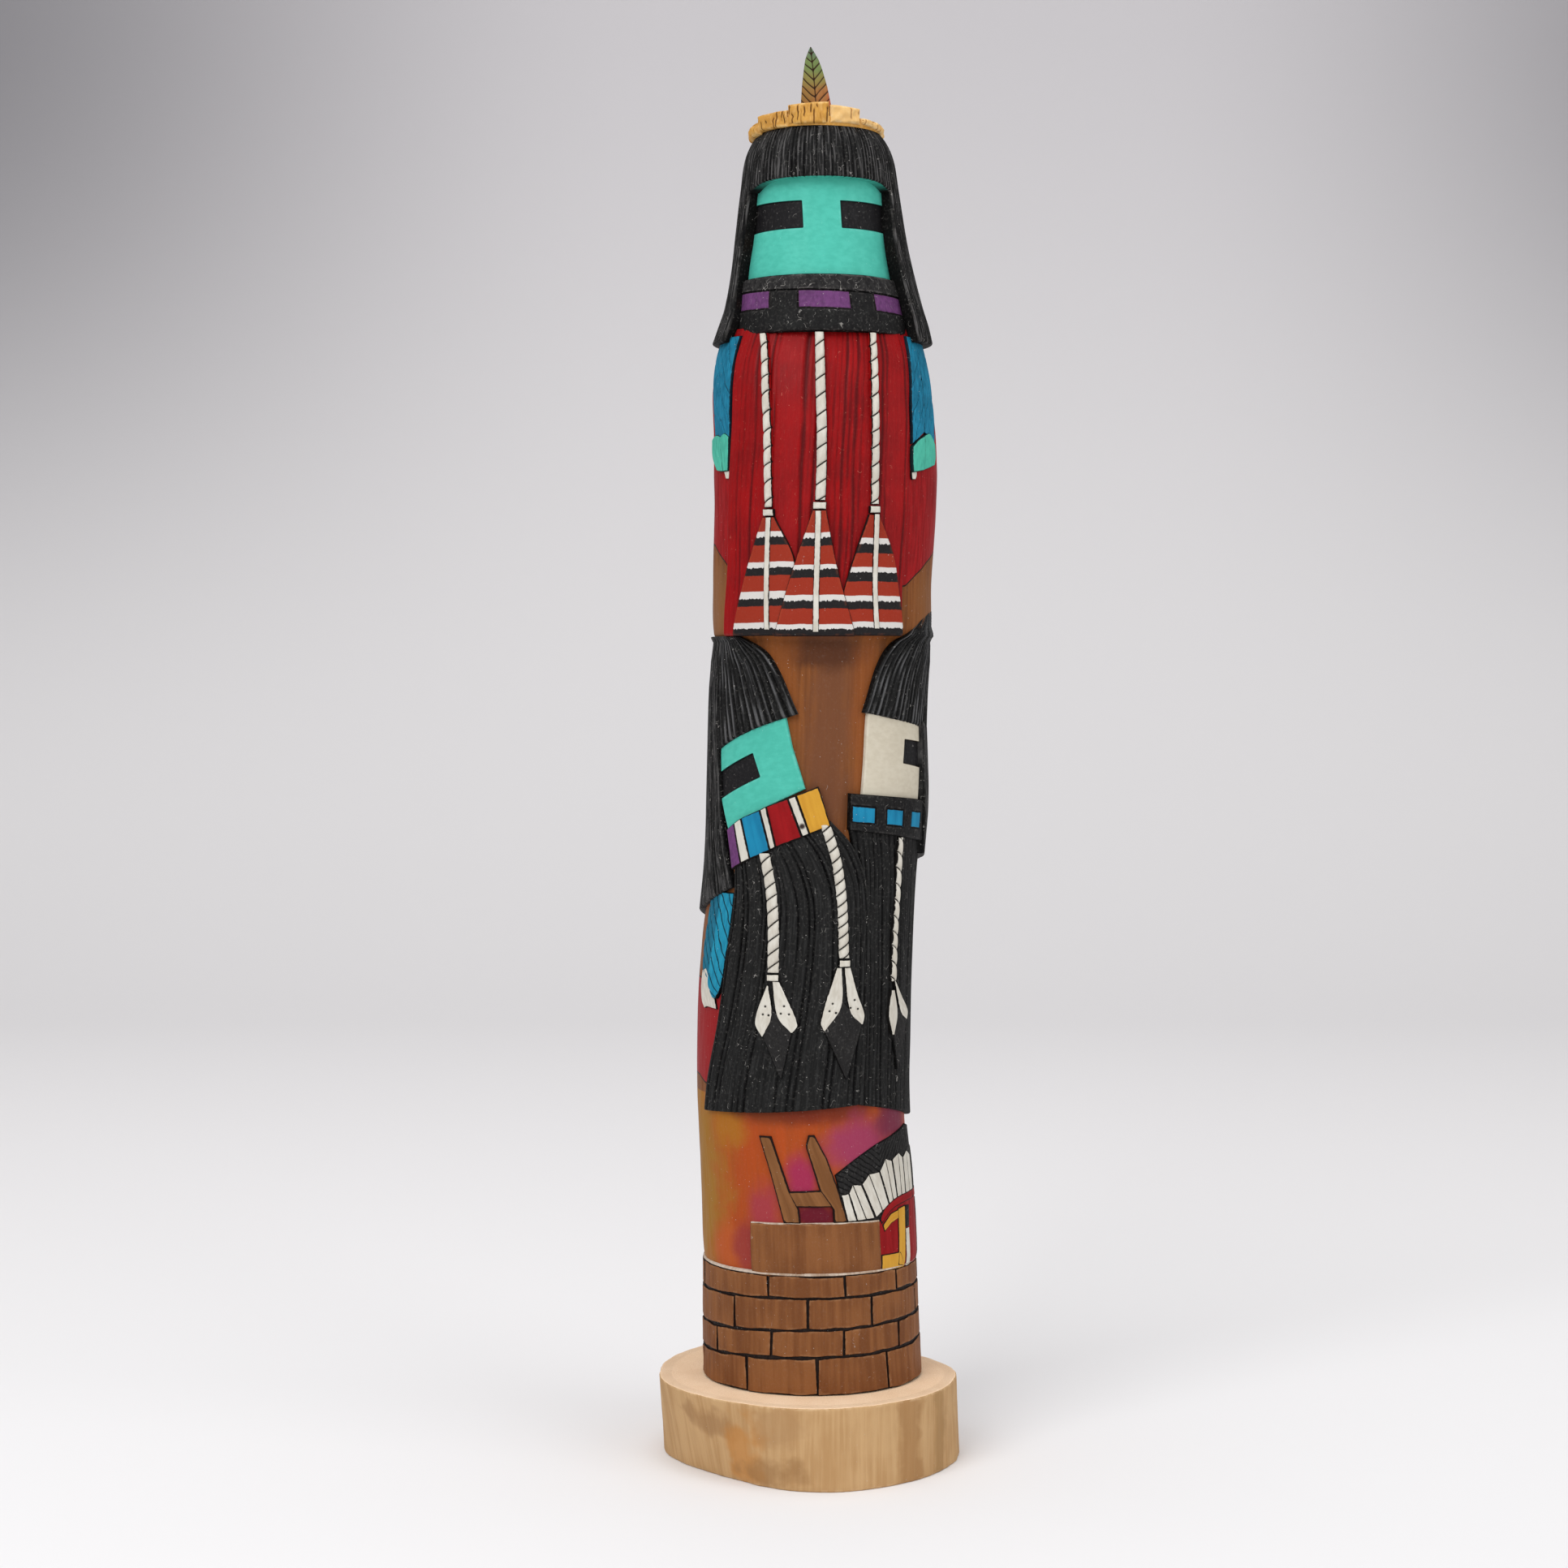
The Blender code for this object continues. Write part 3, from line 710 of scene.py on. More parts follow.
# Paler grey black for the collar's rounded top band, its rims strongly lightened: worn paint, and painted
# highlight on the edges.
WORN_LIT_BLACK = Finish(
    "worn_lit_black_paint", (48, 47, 47), (30, 29, 30), (8, 8, 8), burnt=0.3, dust=0.24, wear=0.6,
    worn_and_lit=(98, 94, 92), fineness=0.9, stretch=2.0, roughness=0.7, gloss=0.08,
)
DIAMOND = Finish(
    "black_feather_tip", (38, 37, 37), (30, 29, 29), (4, 4, 4), dust=0.14, burnt=0.34,
    fineness=1.6, stretch=6.0, roughness=0.6, gloss=0.1,
)
EYE = Finish(
    "eye_black", (27, 26, 28), (22, 21, 23), (6, 6, 6), dust=0.12, roughness=0.55,
    fineness=0.8, stretch=3.0, gloss=0.12,
)
# Lighter rims of the face: rubbed paint, and painted highlight on the edges that catch the light.
TURQUOISE = Finish(
    "turquoise_paint", (80, 186, 168), (72, 176, 158), (14, 40, 38), dust=0.05,
    fineness=0.35, stretch=0.6, roughness=0.5, wear=0.3, worn_and_lit=(132, 214, 200), dusty=(160, 220, 208),
)
# Underside of the bangs: a darker copy of the turquoise that goes near black towards the sides, painted
# shade under the overhang.
SHADED_TURQUOISE_UNDER = Blushed(
    "turquoise_underside_painted_shade", (70, 172, 154), (60, 156, 140), dust=0.02, blushes=(
        Blush(-72, 380, 25, 60, (14, 14, 14)), Blush(72, 380, 25, 60, (14, 14, 14)),
    ),
)
# Lighter rims of the face: rubbed paint, and painted highlight on the edges that catch the light.
CREAM = Finish(
    "cream_paint", (202, 194, 176), (194, 185, 166), (60, 48, 36), dust=0.02,
    fineness=0.4, stretch=0.6, roughness=0.6, wear=0.4, worn_and_lit=(216, 210, 196),
)
WHITE = Finish(
    "white_paint", (208, 204, 194), (192, 186, 174), (14, 12, 11), dust=0.02, burnt=0.16,
    fineness=0.9, stretch=3.0, roughness=0.6,
)
RED_BEARD = Finish(
    "red_beard", (147, 7, 11), (112, 4, 8), (88, 3, 7), (174, 24, 28), 0.4,
    dust=0.11, wear=0.2, worn_and_lit=(176, 60, 44), fineness=2.0, stretch=12.0, roughness=0.5,
    dusty=(206, 122, 104), gloss=0.12,
)
PURPLE = Finish(
    "purple_paint", (106, 60, 110), (88, 50, 92), dust=0.14, burnt=0.34, fineness=1.2, stretch=2.0,
)
YELLOW = Finish("yellow_paint", (204, 152, 52), (190, 136, 44), dust=0.02, burnt=0.36, fineness=0.5)
SCARLET = replace(YELLOW, name="scarlet_paint", base=(146, 14, 20), shade=(128, 10, 16))
BLUE = replace(YELLOW, name="blue_paint", base=(26, 130, 168), shade=(20, 112, 150))
OCHRE = Finish(
    "crown_ochre", (200, 150, 72), (178, 124, 52), (74, 44, 22), (232, 190, 118), 0.4,
    dust=0.0, fineness=0.9, stretch=2.0, roughness=0.62, wear=0.7, worn_and_lit=(234, 198, 134),
)
PALE_OCHRE = replace(
    OCHRE, name="pale_crown_ochre", base=(226, 184, 120), shade=(212, 166, 100), groove=(140, 92, 58),
    ridge=(240, 208, 152), worn_and_lit=(240, 210, 158),
)
FEATHER_WHITE = (206, 202, 198)
FEATHER_BLACK = (30, 28, 29)
FEATHER_BROWN = (146, 46, 28)


def striped(name: str, edges: Sequence[tuple[float, float, float]]) -> Banded:
    """Finish of one striped feather.

    Args:
        name: The finish's name.
        edges: For each stripe, where the white begins, where the black begins
            and where the brown begins again.

    Returns:
        The finish.
    """
    bands: list[tuple[float, Colour, float]] = []
    for white, black, brown in edges:
        bands += [(white, FEATHER_WHITE, 0.15), (black, FEATHER_BLACK, 1.5), (brown, FEATHER_BROWN, 0.4)]
    return Banded(
        name, (150, 48, 30), (136, 42, 26), (30, 14, 12), dust=0.05, burnt=0.2, fineness=1.6,
        stretch=3.0, wear=0.12, worn_and_lit=(190, 100, 60), bands=tuple(bands),
    )


LEFT_STRIPES = striped("left_striped_feather", (
    (268.8, 267.1, 264.6), (259.4, 257.6, 255.2), (250.3, 248.0, 245.7), (240.6, 238.8, 230.0)))
MIDDLE_STRIPES = striped("middle_striped_feather", (
    (268.1, 266.5, 264.0), (258.3, 256.9, 254.3), (249.0, 247.2, 244.8), (240.0, 238.5, 230.0)))
RIGHT_STRIPES = striped("right_striped_feather", (
    (266.7, 264.9, 262.0), (257.7, 256.1, 253.2), (248.8, 247.1, 244.6), (240.7, 238.9, 230.0)))
DEEP_BLUE = Finish(
    "deep_blue_feather", (30, 124, 156), (18, 96, 124), (8, 30, 42), dust=0.06, burnt=0.22,
    fineness=1.2, stretch=4.0,
)
TEAL_TIP = Finish(
    "teal_feather_tip", (78, 182, 158), (66, 160, 140), (14, 40, 40), dust=0.04, burnt=0.26,
    fineness=1.2, stretch=4.0,
)
SKY_BLUE = replace(
    TEAL_TIP, name="sky_blue_feather", base=(32, 140, 170), shade=(24, 120, 150), groove=(6, 16, 20),
)
# Darker copy of the sky blue for the rear lower feather: painted shade behind the front one.
SHADED_BLUE = replace(SKY_BLUE, name="dim_blue_feather", base=(30, 112, 138), shade=(20, 92, 116))
LADDER = WoodFinish(
    "ladder_wood", (132, 88, 52), (112, 72, 40), (24, 13, 10), dust=0.03, burnt=0.5,
)
BRICK = WoodFinish(
    "brick_wood", (132, 84, 48), (110, 66, 36), (30, 17, 12), dust=0.09, burnt=0.22, wear=0.35,
    worn_and_lit=(166, 124, 88), grain=0.6, roughness=0.62,
)
MORTAR = Finish("burnt_joint", (34, 20, 14), (22, 13, 10), dust=0.04, gloss=0.2)
LEDGE = WoodFinish(
    "dusty_ledge", (196, 182, 168), (160, 136, 116), dust=0.4, roughness=0.75,
    dusty=(214, 204, 192),
)
KNOT_WHITE = Blushed(
    "knotted_white_paint", (208, 204, 194), (192, 186, 174), (14, 12, 11), dust=0.02, burnt=0.36,
    fineness=0.9, blushes=(Blush(-6.6, 177.4, 1.5, 0.9, (52, 40, 36)),),
)
EDGED_WHITE = Finish(
    "outlined_white_paint", (208, 204, 194), (192, 186, 174), (14, 12, 11), dust=0.02, burnt=0.36,
    fineness=0.9,
)
TRUNK_FINISH = TrunkFinish(
    "stained_trunk", (130, 76, 34), (106, 60, 27), (26, 14, 10), dust=0.07,
    fineness=1.0, stretch=12.0, roughness=0.58, gloss=0.16, robe=((150, 9, 15), (128, 7, 12)),
    patch=(142, 22, 26), blushes=(
        Blush(6, 205, 13, 40, (108, 66, 42), 0.85),
        # Painted shadow: dark band on the bare wood just under the waist step.
        Blush(0, 231, 26, 5, (72, 38, 20), 0.8),
        Blush(-24, 216, 11, 30, (146, 80, 30), 0.5),
        Blush(27, 214, 9, 30, (140, 74, 29), 0.5),
        Blush(-75, 246, 20, 14, (134, 90, 52), 0.7),
        Blush(72, 246, 16, 12, (128, 82, 44), 0.7),
    ),
    sky=(168, 70, 22), sky_blushes=(
        Blush(-76, 66, 28, 40, (150, 104, 32)), Blush(-104, 66, 18, 40, (124, 84, 44)),
        Blush(-46, 84, 13, 8, (162, 100, 26)), Blush(-48, 44, 14, 8, (172, 80, 32)),
        Blush(-14, 88, 26, 4, (116, 50, 20), 0.9), Blush(14, 88, 26, 4.5, (112, 40, 20), 0.9),
        Blush(-24, 57, 9, 9, (154, 54, 60)), Blush(-36, 45, 8, 9, (136, 46, 48), 0.8),
        Blush(-2, 67.5, 8, 8, (152, 40, 74)), Blush(32, 77, 20, 9, (148, 52, 82)),
        Blush(62, 84, 18, 7, (112, 38, 60)), Blush(4.5, 56, 13, 4.8, (96, 14, 32)),
        Blush(112, 66, 20, 34, (134, 48, 64)), Blush(180, 60, 36, 40, (152, 56, 32)),
        Blush(-180, 60, 36, 40, (152, 56, 32)),
    ),
)
SLAB_SIDE = BarkedFinish(
    "slab_side", (194, 158, 114), (178, 140, 96), (96, 62, 36), dust=0.03,
    grain=0.8, roughness=0.7, bump=0.35, wear=0.5, worn_and_lit=(216, 184, 146), blushes=(
        Blush(-44, 18, 14, 4, (150, 112, 74), 0.6), Blush(-27, 9, 7, 12, (186, 128, 66), 0.7),
        Blush(-15, 5, 12, 4, (150, 112, 72), 0.65), Blush(-12, 20, 9, 6, (166, 128, 88), 0.5),
        Blush(40, 13, 5, 30, (158, 118, 76), 0.7), Blush(58, 13, 4, 30, (150, 116, 74), 0.5),
        Blush(120, 12, 26, 20, (170, 128, 84), 0.6), Blush(200, 14, 30, 14, (158, 116, 74), 0.6),
        Blush(270, 10, 16, 12, (180, 126, 72), 0.6),
    ),
)
# Pale sawn top: paler than the side as sawn wood is, and paler still as painted light on the top that faces
# the lamps.
LIT_SLAB_TOP = Finish(
    "lit_slab_top", (246, 216, 184), (234, 200, 164), (150, 110, 76), dust=0.0,
    fineness=2.0, stretch=1.2, roughness=0.8, bump=0.6,
)
FEATHER_PAINT = Blushed(
    "crown_feather_paint", (158, 108, 64), (146, 98, 56), (50, 32, 20), dust=0.0,
    fineness=1.0, stretch=4.0, blushes=(
        Blush(-2, 408.5, 3.6, 4.4, (138, 106, 58), 0.9), Blush(2, 413, 9, 3.4, (130, 120, 66)),
        Blush(2, 417, 9, 3.6, (108, 124, 74)), Blush(1, 422.5, 9, 3.8, (92, 112, 88)),
        Blush(6.6, 404, 1.3, 8, (168, 84, 60), 0.8),
    ),
)


@dataclass(frozen=True)
class Form:
    """Round form of oval sections.

    Each row is a height, a centre along X, a half width and a half depth.
    """

    rows: tuple[tuple[float, float, float, float], ...]

    def ratio(self) -> float:
        """Millimetres that one degree of bearing covers."""
        return math.radians(sum(row[2] for row in self.rows) / len(self.rows))

    def place(self, bearing: np.ndarray, height: np.ndarray, lift: np.ndarray) -> np.ndarray:
        """World points on the form.

        Args:
            bearing: Bearings in degrees.
            height: Heights above the foot.
            lift: How far the points stand out.

        Returns:
            An array of the same shape with X, Y and Z at the end.
        """
        table = np.array(self.rows)
        centre, wide, deep = (hermite(table[:, 0], table[:, k], height) for k in (1, 2, 3))
        turn = np.radians(bearing)
        out_x, out_y = np.sin(turn) * deep, -np.cos(turn) * wide
        length = np.hypot(out_x, out_y)
        x = centre + wide * np.sin(turn) + out_x / length * lift
        y = -deep * np.cos(turn) + out_y / length * lift
        return np.stack([x * UNIT, y * UNIT, height * UNIT + FOOT], axis=-1)


@dataclass(frozen=True)
class Flat(Form):
    """Upright plane, on which a bearing is a distance along X."""

    rows: tuple[tuple[float, float, float, float], ...] = ()
    middle: float = 0.0

    def ratio(self) -> float:
        """Millimetres that one unit of bearing covers."""
        return 1.0

    def place(self, bearing: np.ndarray, height: np.ndarray, lift: np.ndarray) -> np.ndarray:
        """World points on the plane, from distances along X, heights and lifts."""
        bearing, height, lift = np.broadcast_arrays(bearing, height, lift)
        return np.stack([bearing * UNIT, (self.middle - lift) * UNIT, height * UNIT + FOOT], axis=-1)


TRUNK = Form((
    (0, 0.2, 33.0, 32.5), (34, 0.0, 33.2, 32.4), (40, -0.1, 34.1, 33.2), (64, -1.2, 33.8, 33.0),
    (84, -2.7, 33.3, 32.6), (109, -2.8, 33.4, 32.2), (134, -1.9, 33.2, 31.6),
    (160, 0.1, 32.4, 30.8), (189, 2.2, 32.6, 30.2), (214, 2.9, 32.2, 29.8),
    (234.6, 3.6, 32.6, 29.8), (237.4, 3.9, 34.6, 31.2), (254, 4.0, 35.0, 31.0),
    (279, 5.0, 35.6, 30.8), (300, 4.8, 35.6, 30.2), (314, 3.8, 34.8, 28.8),
    (324, 3.5, 33.0, 26.0), (334, 3.6, 30.0, 22.6),
))
WALL = Form(((-1, 1.0, 35.6, 34.9), (12, 0.6, 35.2, 34.8), (38, 0.0, 34.6, 34.6)))
HEAD = Form((
    (322, 4.7, 26.7, 25.0), (351, 3.1, 23.9, 22.8), (364, 3.2, 22.3, 21.3), (384, 3.0, 21.4, 20.4),
))
LOCKS = Form((
    (329.2, 4.0, 35.4, 31.2), (332, 4.2, 34.6, 30.8), (336, 4.4, 33.4, 30.2),
    (341, 4.4, 31.8, 29.0), (352, 3.9, 29.4, 27.4), (362, 3.4, 27.7, 26.4),
    (379, 3.1, 25.3, 25.0), (388, 3.0, 23.9, 23.6), (394, 3.0, 21.2, 21.0),
    (398, 2.9, 17.5, 17.3),
))
RING = Form(((392, 2.2, 22.1, 21.4), (404, 2.2, 21.7, 21.0)))


@dataclass(frozen=True)
class Lay:
    """Where each point of a sheet lies on it, in millimetres and shares."""

    across: np.ndarray
    along: np.ndarray
    width: np.ndarray
    length: np.ndarray
    bearing: np.ndarray
    height: np.ndarray
    ratio: float
    seed: int


@dataclass(frozen=True)
class Relief:
    """Surface of a sheet: gently uneven, as a knife leaves it."""

    depth: float = 0.08

    def carve(self, lay: Lay) -> Carved:
        """Height change over a sheet, and its tone: 0 in a groove, 1 on the surface."""
        facets = noise(lay.across / 3.1, lay.along / 6.3, lay.seed) - 1.0
        return self.depth * facets, np.ones_like(facets)


@dataclass(frozen=True)
class Strands(Relief):
    """Hair cut as strands that run from the first row to the last."""

    depth: float = 0.34
    pitch: float = 1.5
    wander: float = 0.5
    spread: float = 0.45
    least: float = 0.25
    waves: float = 0.35
    fixed: bool = False

    def carve(self, lay: Lay) -> Carved:
        """Height changes and tone of the strands.

        Args:
            lay: Where the sheet's points lie.

        Returns:
            The height change and the tone, 0 in a groove and 1 on the surface.
        """
        if self.fixed:
            phase = lay.bearing * lay.ratio / self.pitch
        else:
            phase = lay.across / lay.width * max(2, round(float(lay.width.mean()) / self.pitch))
        phase = phase + self.wander * (noise(phase * 0.3, lay.along / 34.0, lay.seed) - 0.5) * 2
        strand = np.floor(phase + 0.5)
        away = np.abs(phase - strand) * 2
        chance = noise(strand, np.zeros_like(strand), lay.seed + 3)
        fade = noise(strand * 1.7, lay.along / 14.0, lay.seed + 5)
        strength = (self.least + (1.25 - self.least) * chance**2) * (0.5 + 1.0 * fade)
        groove = np.clip(1 - away / (self.spread + 0.5 * chance), 0.0, 1.0) ** 1.3
        waves = self.waves * (noise(phase * 0.35, lay.along / 22.0, lay.seed + 8) - 1.0)
        # Tone drops in each groove, so the finish paints shade into the strands' grooves.
        return waves - self.depth * strength * groove, 1 - groove * np.minimum(strength * 1.1, 1.0)


@dataclass(frozen=True)
class Twist(Relief):
    """Cord of laid strands: round across, with slanting burnt grooves."""

    depth: float = 0.55
    pitch: float = 4.7
    slope: float = 0.75
    uneven: float = 0.25
    width: float = 0.34
    swell: float = 0.3
    fall: float = 0.5

    def carve(self, lay: Lay) -> Carved:
        """Height changes and tone of the cord.

        Args:
            lay: Where the sheet's points lie.

        Returns:
            The height change and the tone, 0 in a groove and 1 on the surface.
        """
        uneven = self.uneven * noise(lay.along / 9.0, lay.along * 0, lay.seed)
        phase = (lay.along + self.slope * lay.across) / self.pitch + uneven
        away = np.abs(phase - np.round(phase)) * self.pitch
        groove = np.exp(-((away / self.width) ** 2))
        plump = self.swell * (1 - np.clip(away / self.pitch * 2, 0, 1)) ** 2
        share = lay.across / lay.width * 2 - 1
        return -self.fall * share**2 - plump - self.depth * groove, 1 - groove


@dataclass(frozen=True)
class Barbs(Relief):
    """Feather web: fine slanting cuts on both sides of the middle."""

    depth: float = 0.14
    pitch: float = 1.3
    slope: float = 0.7
    spine: float = 0.5
    dark: float = 0.35
    width: float = 0.3
    uneven: float = 0.3
    facets: float = 0.1

    def carve(self, lay: Lay) -> Carved:
        """Height changes and tone of the web.

        Args:
            lay: Where the sheet's points lie.

        Returns:
            The height change and the tone, 0 in a groove and 1 on the surface.
        """
        side = np.abs(lay.across - self.spine * lay.width)
        phase = (lay.along + self.slope * side) / self.pitch
        phase = phase + self.uneven * noise(lay.across / 3.0, lay.along / 3.0, lay.seed)
        away = np.abs(phase - np.round(phase)) * self.pitch
        groove = np.exp(-((away / self.width) ** 2))
        facets = self.facets * (noise(lay.across / 2.5, lay.along / 5.0, lay.seed + 1) - 1.0)
        return facets - self.depth * groove, 1 - self.dark * groove


@dataclass(frozen=True)
class Strokes(Relief):
    """Short burnt strokes on a rubbed, uneven block."""

    depth: float = 0.34
    pitch: float = 1.05
    width: float = 0.28
    lumps: float = 1.3
    common: float = 0.5
    uneven: float = 0.5
    ends: float = 6.0
    dark: float = 0.9

    def carve(self, lay: Lay) -> Carved:
        """Height changes and tone of the strokes.

        Args:
            lay: Where the sheet's points lie.

        Returns:
            The height change and the tone, 0 in a groove and 1 on the surface.
        """
        phase = lay.across / self.pitch + self.uneven * noise(lay.across / 2.0, lay.along, lay.seed)
        stroke = np.round(phase)
        away = np.abs(phase - stroke) * self.pitch
        none = np.zeros_like(stroke)
        reach = 0.2 + 1.0 * noise(stroke, none, lay.seed + 2)
        start = 0.5 * noise(stroke, none, lay.seed + 4) - 0.1
        share = lay.along / np.maximum(lay.length, 1e-6)
        there = noise(stroke, none, lay.seed + 6) - 1 + self.common
        begun, unended, kept = (
            np.clip(value * self.ends, 0, 1) for value in (share - start, start + reach - share, there)
        )
        present = begun * unended * kept
        groove = np.exp(-((away / self.width) ** 2)) * present
        lumps = self.lumps * (noise(lay.across / 2.3, lay.along / 2.1, lay.seed + 7) - 1.0)
        return lumps - self.depth * groove, 1 - self.dark * groove


@dataclass(frozen=True)
class Pitted(Relief):
    """Smooth face with a few small pits, given by bearing and height."""

    pits: tuple[tuple[float, float], ...] = ()
    radius: float = 0.42
    pit_depth: float = 0.35
    dark: float = 0.9

    def carve(self, lay: Lay) -> Carved:
        """Height changes and tone of the pits.

        Args:
            lay: Where the sheet's points lie.

        Returns:
            The height change and the tone, 0 in a pit and 1 on the surface.
        """
        change, tone = super().carve(lay)
        for bearing, height in self.pits:
            away = np.hypot((lay.bearing - bearing) * lay.ratio, lay.height - height)
            pit = np.exp(-((away / self.radius) ** 4))
            change, tone = change - self.pit_depth * pit, tone - self.dark * pit
        return change, np.clip(tone, 0.0, 1.0)


@dataclass
class Shell:
    """Closed surface with what its finishes read, ready to be joined."""

    points: np.ndarray
    faces: list[Face]
    slots: list[int]
    finishes: list[Finish]
    lay: np.ndarray
    spot: np.ndarray
    tone: np.ndarray
    rim: np.ndarray
    paint: np.ndarray | None = None


@dataclass(frozen=True)
class Cells:
    """Cells of a sheet, between its lanes and its bands.

    posts and keys are where lanes and bands begin, across and along the places
    of the grid's columns and rows, lane and band the cell of each of those.
    """

    posts: np.ndarray
    keys: np.ndarray
    across: np.ndarray
    along: np.ndarray
    lane: np.ndarray
    band: np.ndarray
    kinds: np.ndarray
    drops: np.ndarray
    finishes: list[Finish]


@dataclass
class Sheet:
    """Slab of relief between lanes.

    lanes run from the top edge to the bottom edge, the first at the left. lift
    is spread evenly over the rows. In a keyed sheet each lane has a point for
    each border between bands, and cells gives the finish and the drop of
    (band, lane) cells. score is the depth of the lines between cells.
    """

    lanes: Sequence[Points]
    finish: Finish
    lift: tuple[float, ...] = (1.0,)
    relief: Relief = Relief()
    rim: float = 0.5
    sides: str = "lrtb"
    sink: float = 3.0
    step: tuple[float, float] = (0.8, 1.6)
    smooth: bool = True
    keyed: bool = False
    cells: dict[tuple[int, int], tuple[Finish, float]] = field(default_factory=dict)
    score: float = 0.0
    score_width: float = 0.24
    score_dark: float = 0.85
    score_all: bool = False
    shell: bool = False
    tuck: float = 0.0
    wall_rim: float = 0.0
    wall_finish: Finish | None = None

    def build(self, form: Form, seed: int) -> Shell:
        """Lay the sheet on a form.

        Args:
            form: The round form.
            seed: Makes the sheet's unevenness its own.

        Returns:
            The sheet as a closed surface.
        """
        curve = hermite if self.smooth else straight
        ratio = form.ratio()
        lanes = [np.array(lane, float) for lane in self.lanes]
        scale = np.array([ratio, 1.0])
        runs = [np.hypot(*(np.diff(lane, axis=0) * scale).T) for lane in lanes]
        if self.keyed:
            keys = running(np.mean(runs, axis=0))
            knots = [keys / keys[-1]] * len(lanes)
            length = float(keys[-1])
        else:
            knots = [running(run) / run.sum() for run in runs]
            length = float(np.mean([run.sum() for run in runs]))
            keys = np.array([0.0, length])
        probe = np.linspace(0.0, 1.0, PROBES)
        traced = [curve(k, lane, probe) * scale for k, lane in zip(knots, lanes)]
        gaps = [float(np.hypot(*(b - a).T).mean()) for a, b in zip(traced, traced[1:])]
        posts = running(gaps)
        inner = bool(self.cells) or self.score > 0.0
        column_marks = posts if inner else (0.0, posts[-1])
        row_marks = keys if inner and self.keyed else (0.0, length)
        across_at = graded(float(posts[-1]), self.step[0], column_marks, self.rim)
        along_at = graded(length, self.step[1], row_marks, self.rim)
        laid = np.stack([curve(k, lane, along_at / length) for k, lane in zip(knots, lanes)])
        grid = curve(posts, laid, across_at).transpose(1, 0, 2)
        bearing, height = grid[..., 0], grid[..., 1]
        lay = self._lay(bearing, height, ratio, seed)
        outer = np.full(bearing.shape, FAR)
        reach = (lay.across, lay.width - lay.across, lay.along, lay.length - lay.along)
        for side, away in zip("lrtb", reach):
            if side in self.sides:
                outer = np.minimum(outer, away)
        cells = self._cells(posts, keys, across_at, along_at)
        inner_away = self._inner(lay, cells)
        lifts = np.interp(along_at / length, np.linspace(0, 1, len(self.lift)), self.lift)
        change, tone = self.relief.carve(lay)
        e = np.clip(outer / max(self.rim, 1e-6), 0.0, 1.0)
        fall = self.rim * (1 - np.sqrt(np.clip(1 - (1 - e) ** 2, 0.0, 1.0)))
        groove = np.exp(-((inner_away / self.score_width) ** 2)) if self.score > 0.0 else 0.0 * outer
        drop = cells.drops[np.ix_(cells.band, cells.lane)]
        raised = lifts[:, None] + change - fall - self.score * groove - drop
        tone = tone * (1 - self.score_dark * groove)
        upper = form.place(bearing, height, raised)
        return self._close(form, lay, cells, upper, tone, np.minimum(outer, inner_away))

    @staticmethod
    def _lay(bearing: np.ndarray, height: np.ndarray, ratio: float, seed: int) -> Lay:
        """Distances over the sheet.

        Args:
            bearing, height: The grid's places.
            ratio: Millimetres per degree.
            seed: The sheet's own number.

        Returns:
            Where each point lies.
        """
        steps = np.hypot(np.diff(bearing, axis=1) * ratio, np.diff(height, axis=1))
        across = np.concatenate([np.zeros((len(bearing), 1)), np.cumsum(steps, axis=1)], axis=1)
        steps = np.hypot(np.diff(bearing, axis=0) * ratio, np.diff(height, axis=0))
        along = np.concatenate([np.zeros((1, bearing.shape[1])), np.cumsum(steps, axis=0)], axis=0)
        width = np.maximum(across[:, -1:], TINY)
        length = np.maximum(along[-1:, :], TINY)
        return Lay(across, along, width, length, bearing, height, ratio, seed)

    def _cells(self, posts: np.ndarray, keys: np.ndarray, across: np.ndarray, along: np.ndarray) -> Cells:
        """Cells of the sheet with their finishes and drops.

        Args:
            posts, keys: Where the lanes and the bands begin.
            across, along: Places of the grid's columns and rows.

        Returns:
            The cells.
        """
        lane = np.clip(np.searchsorted(posts, across + TINY, side="right") - 1, 0, len(posts) - 2)
        band = np.clip(np.searchsorted(keys, along + TINY, side="right") - 1, 0, len(keys) - 2)
        finishes = [self.finish]
        kinds = np.zeros((len(keys) - 1, len(posts) - 1), int)
        drops = np.zeros(kinds.shape)
        for place, (finish, drop) in self.cells.items():
            if finish not in finishes:
                finishes.append(finish)
            kinds[place] = finishes.index(finish)
            drops[place] = drop
        return Cells(posts, keys, across, along, lane, band, kinds, drops, finishes)

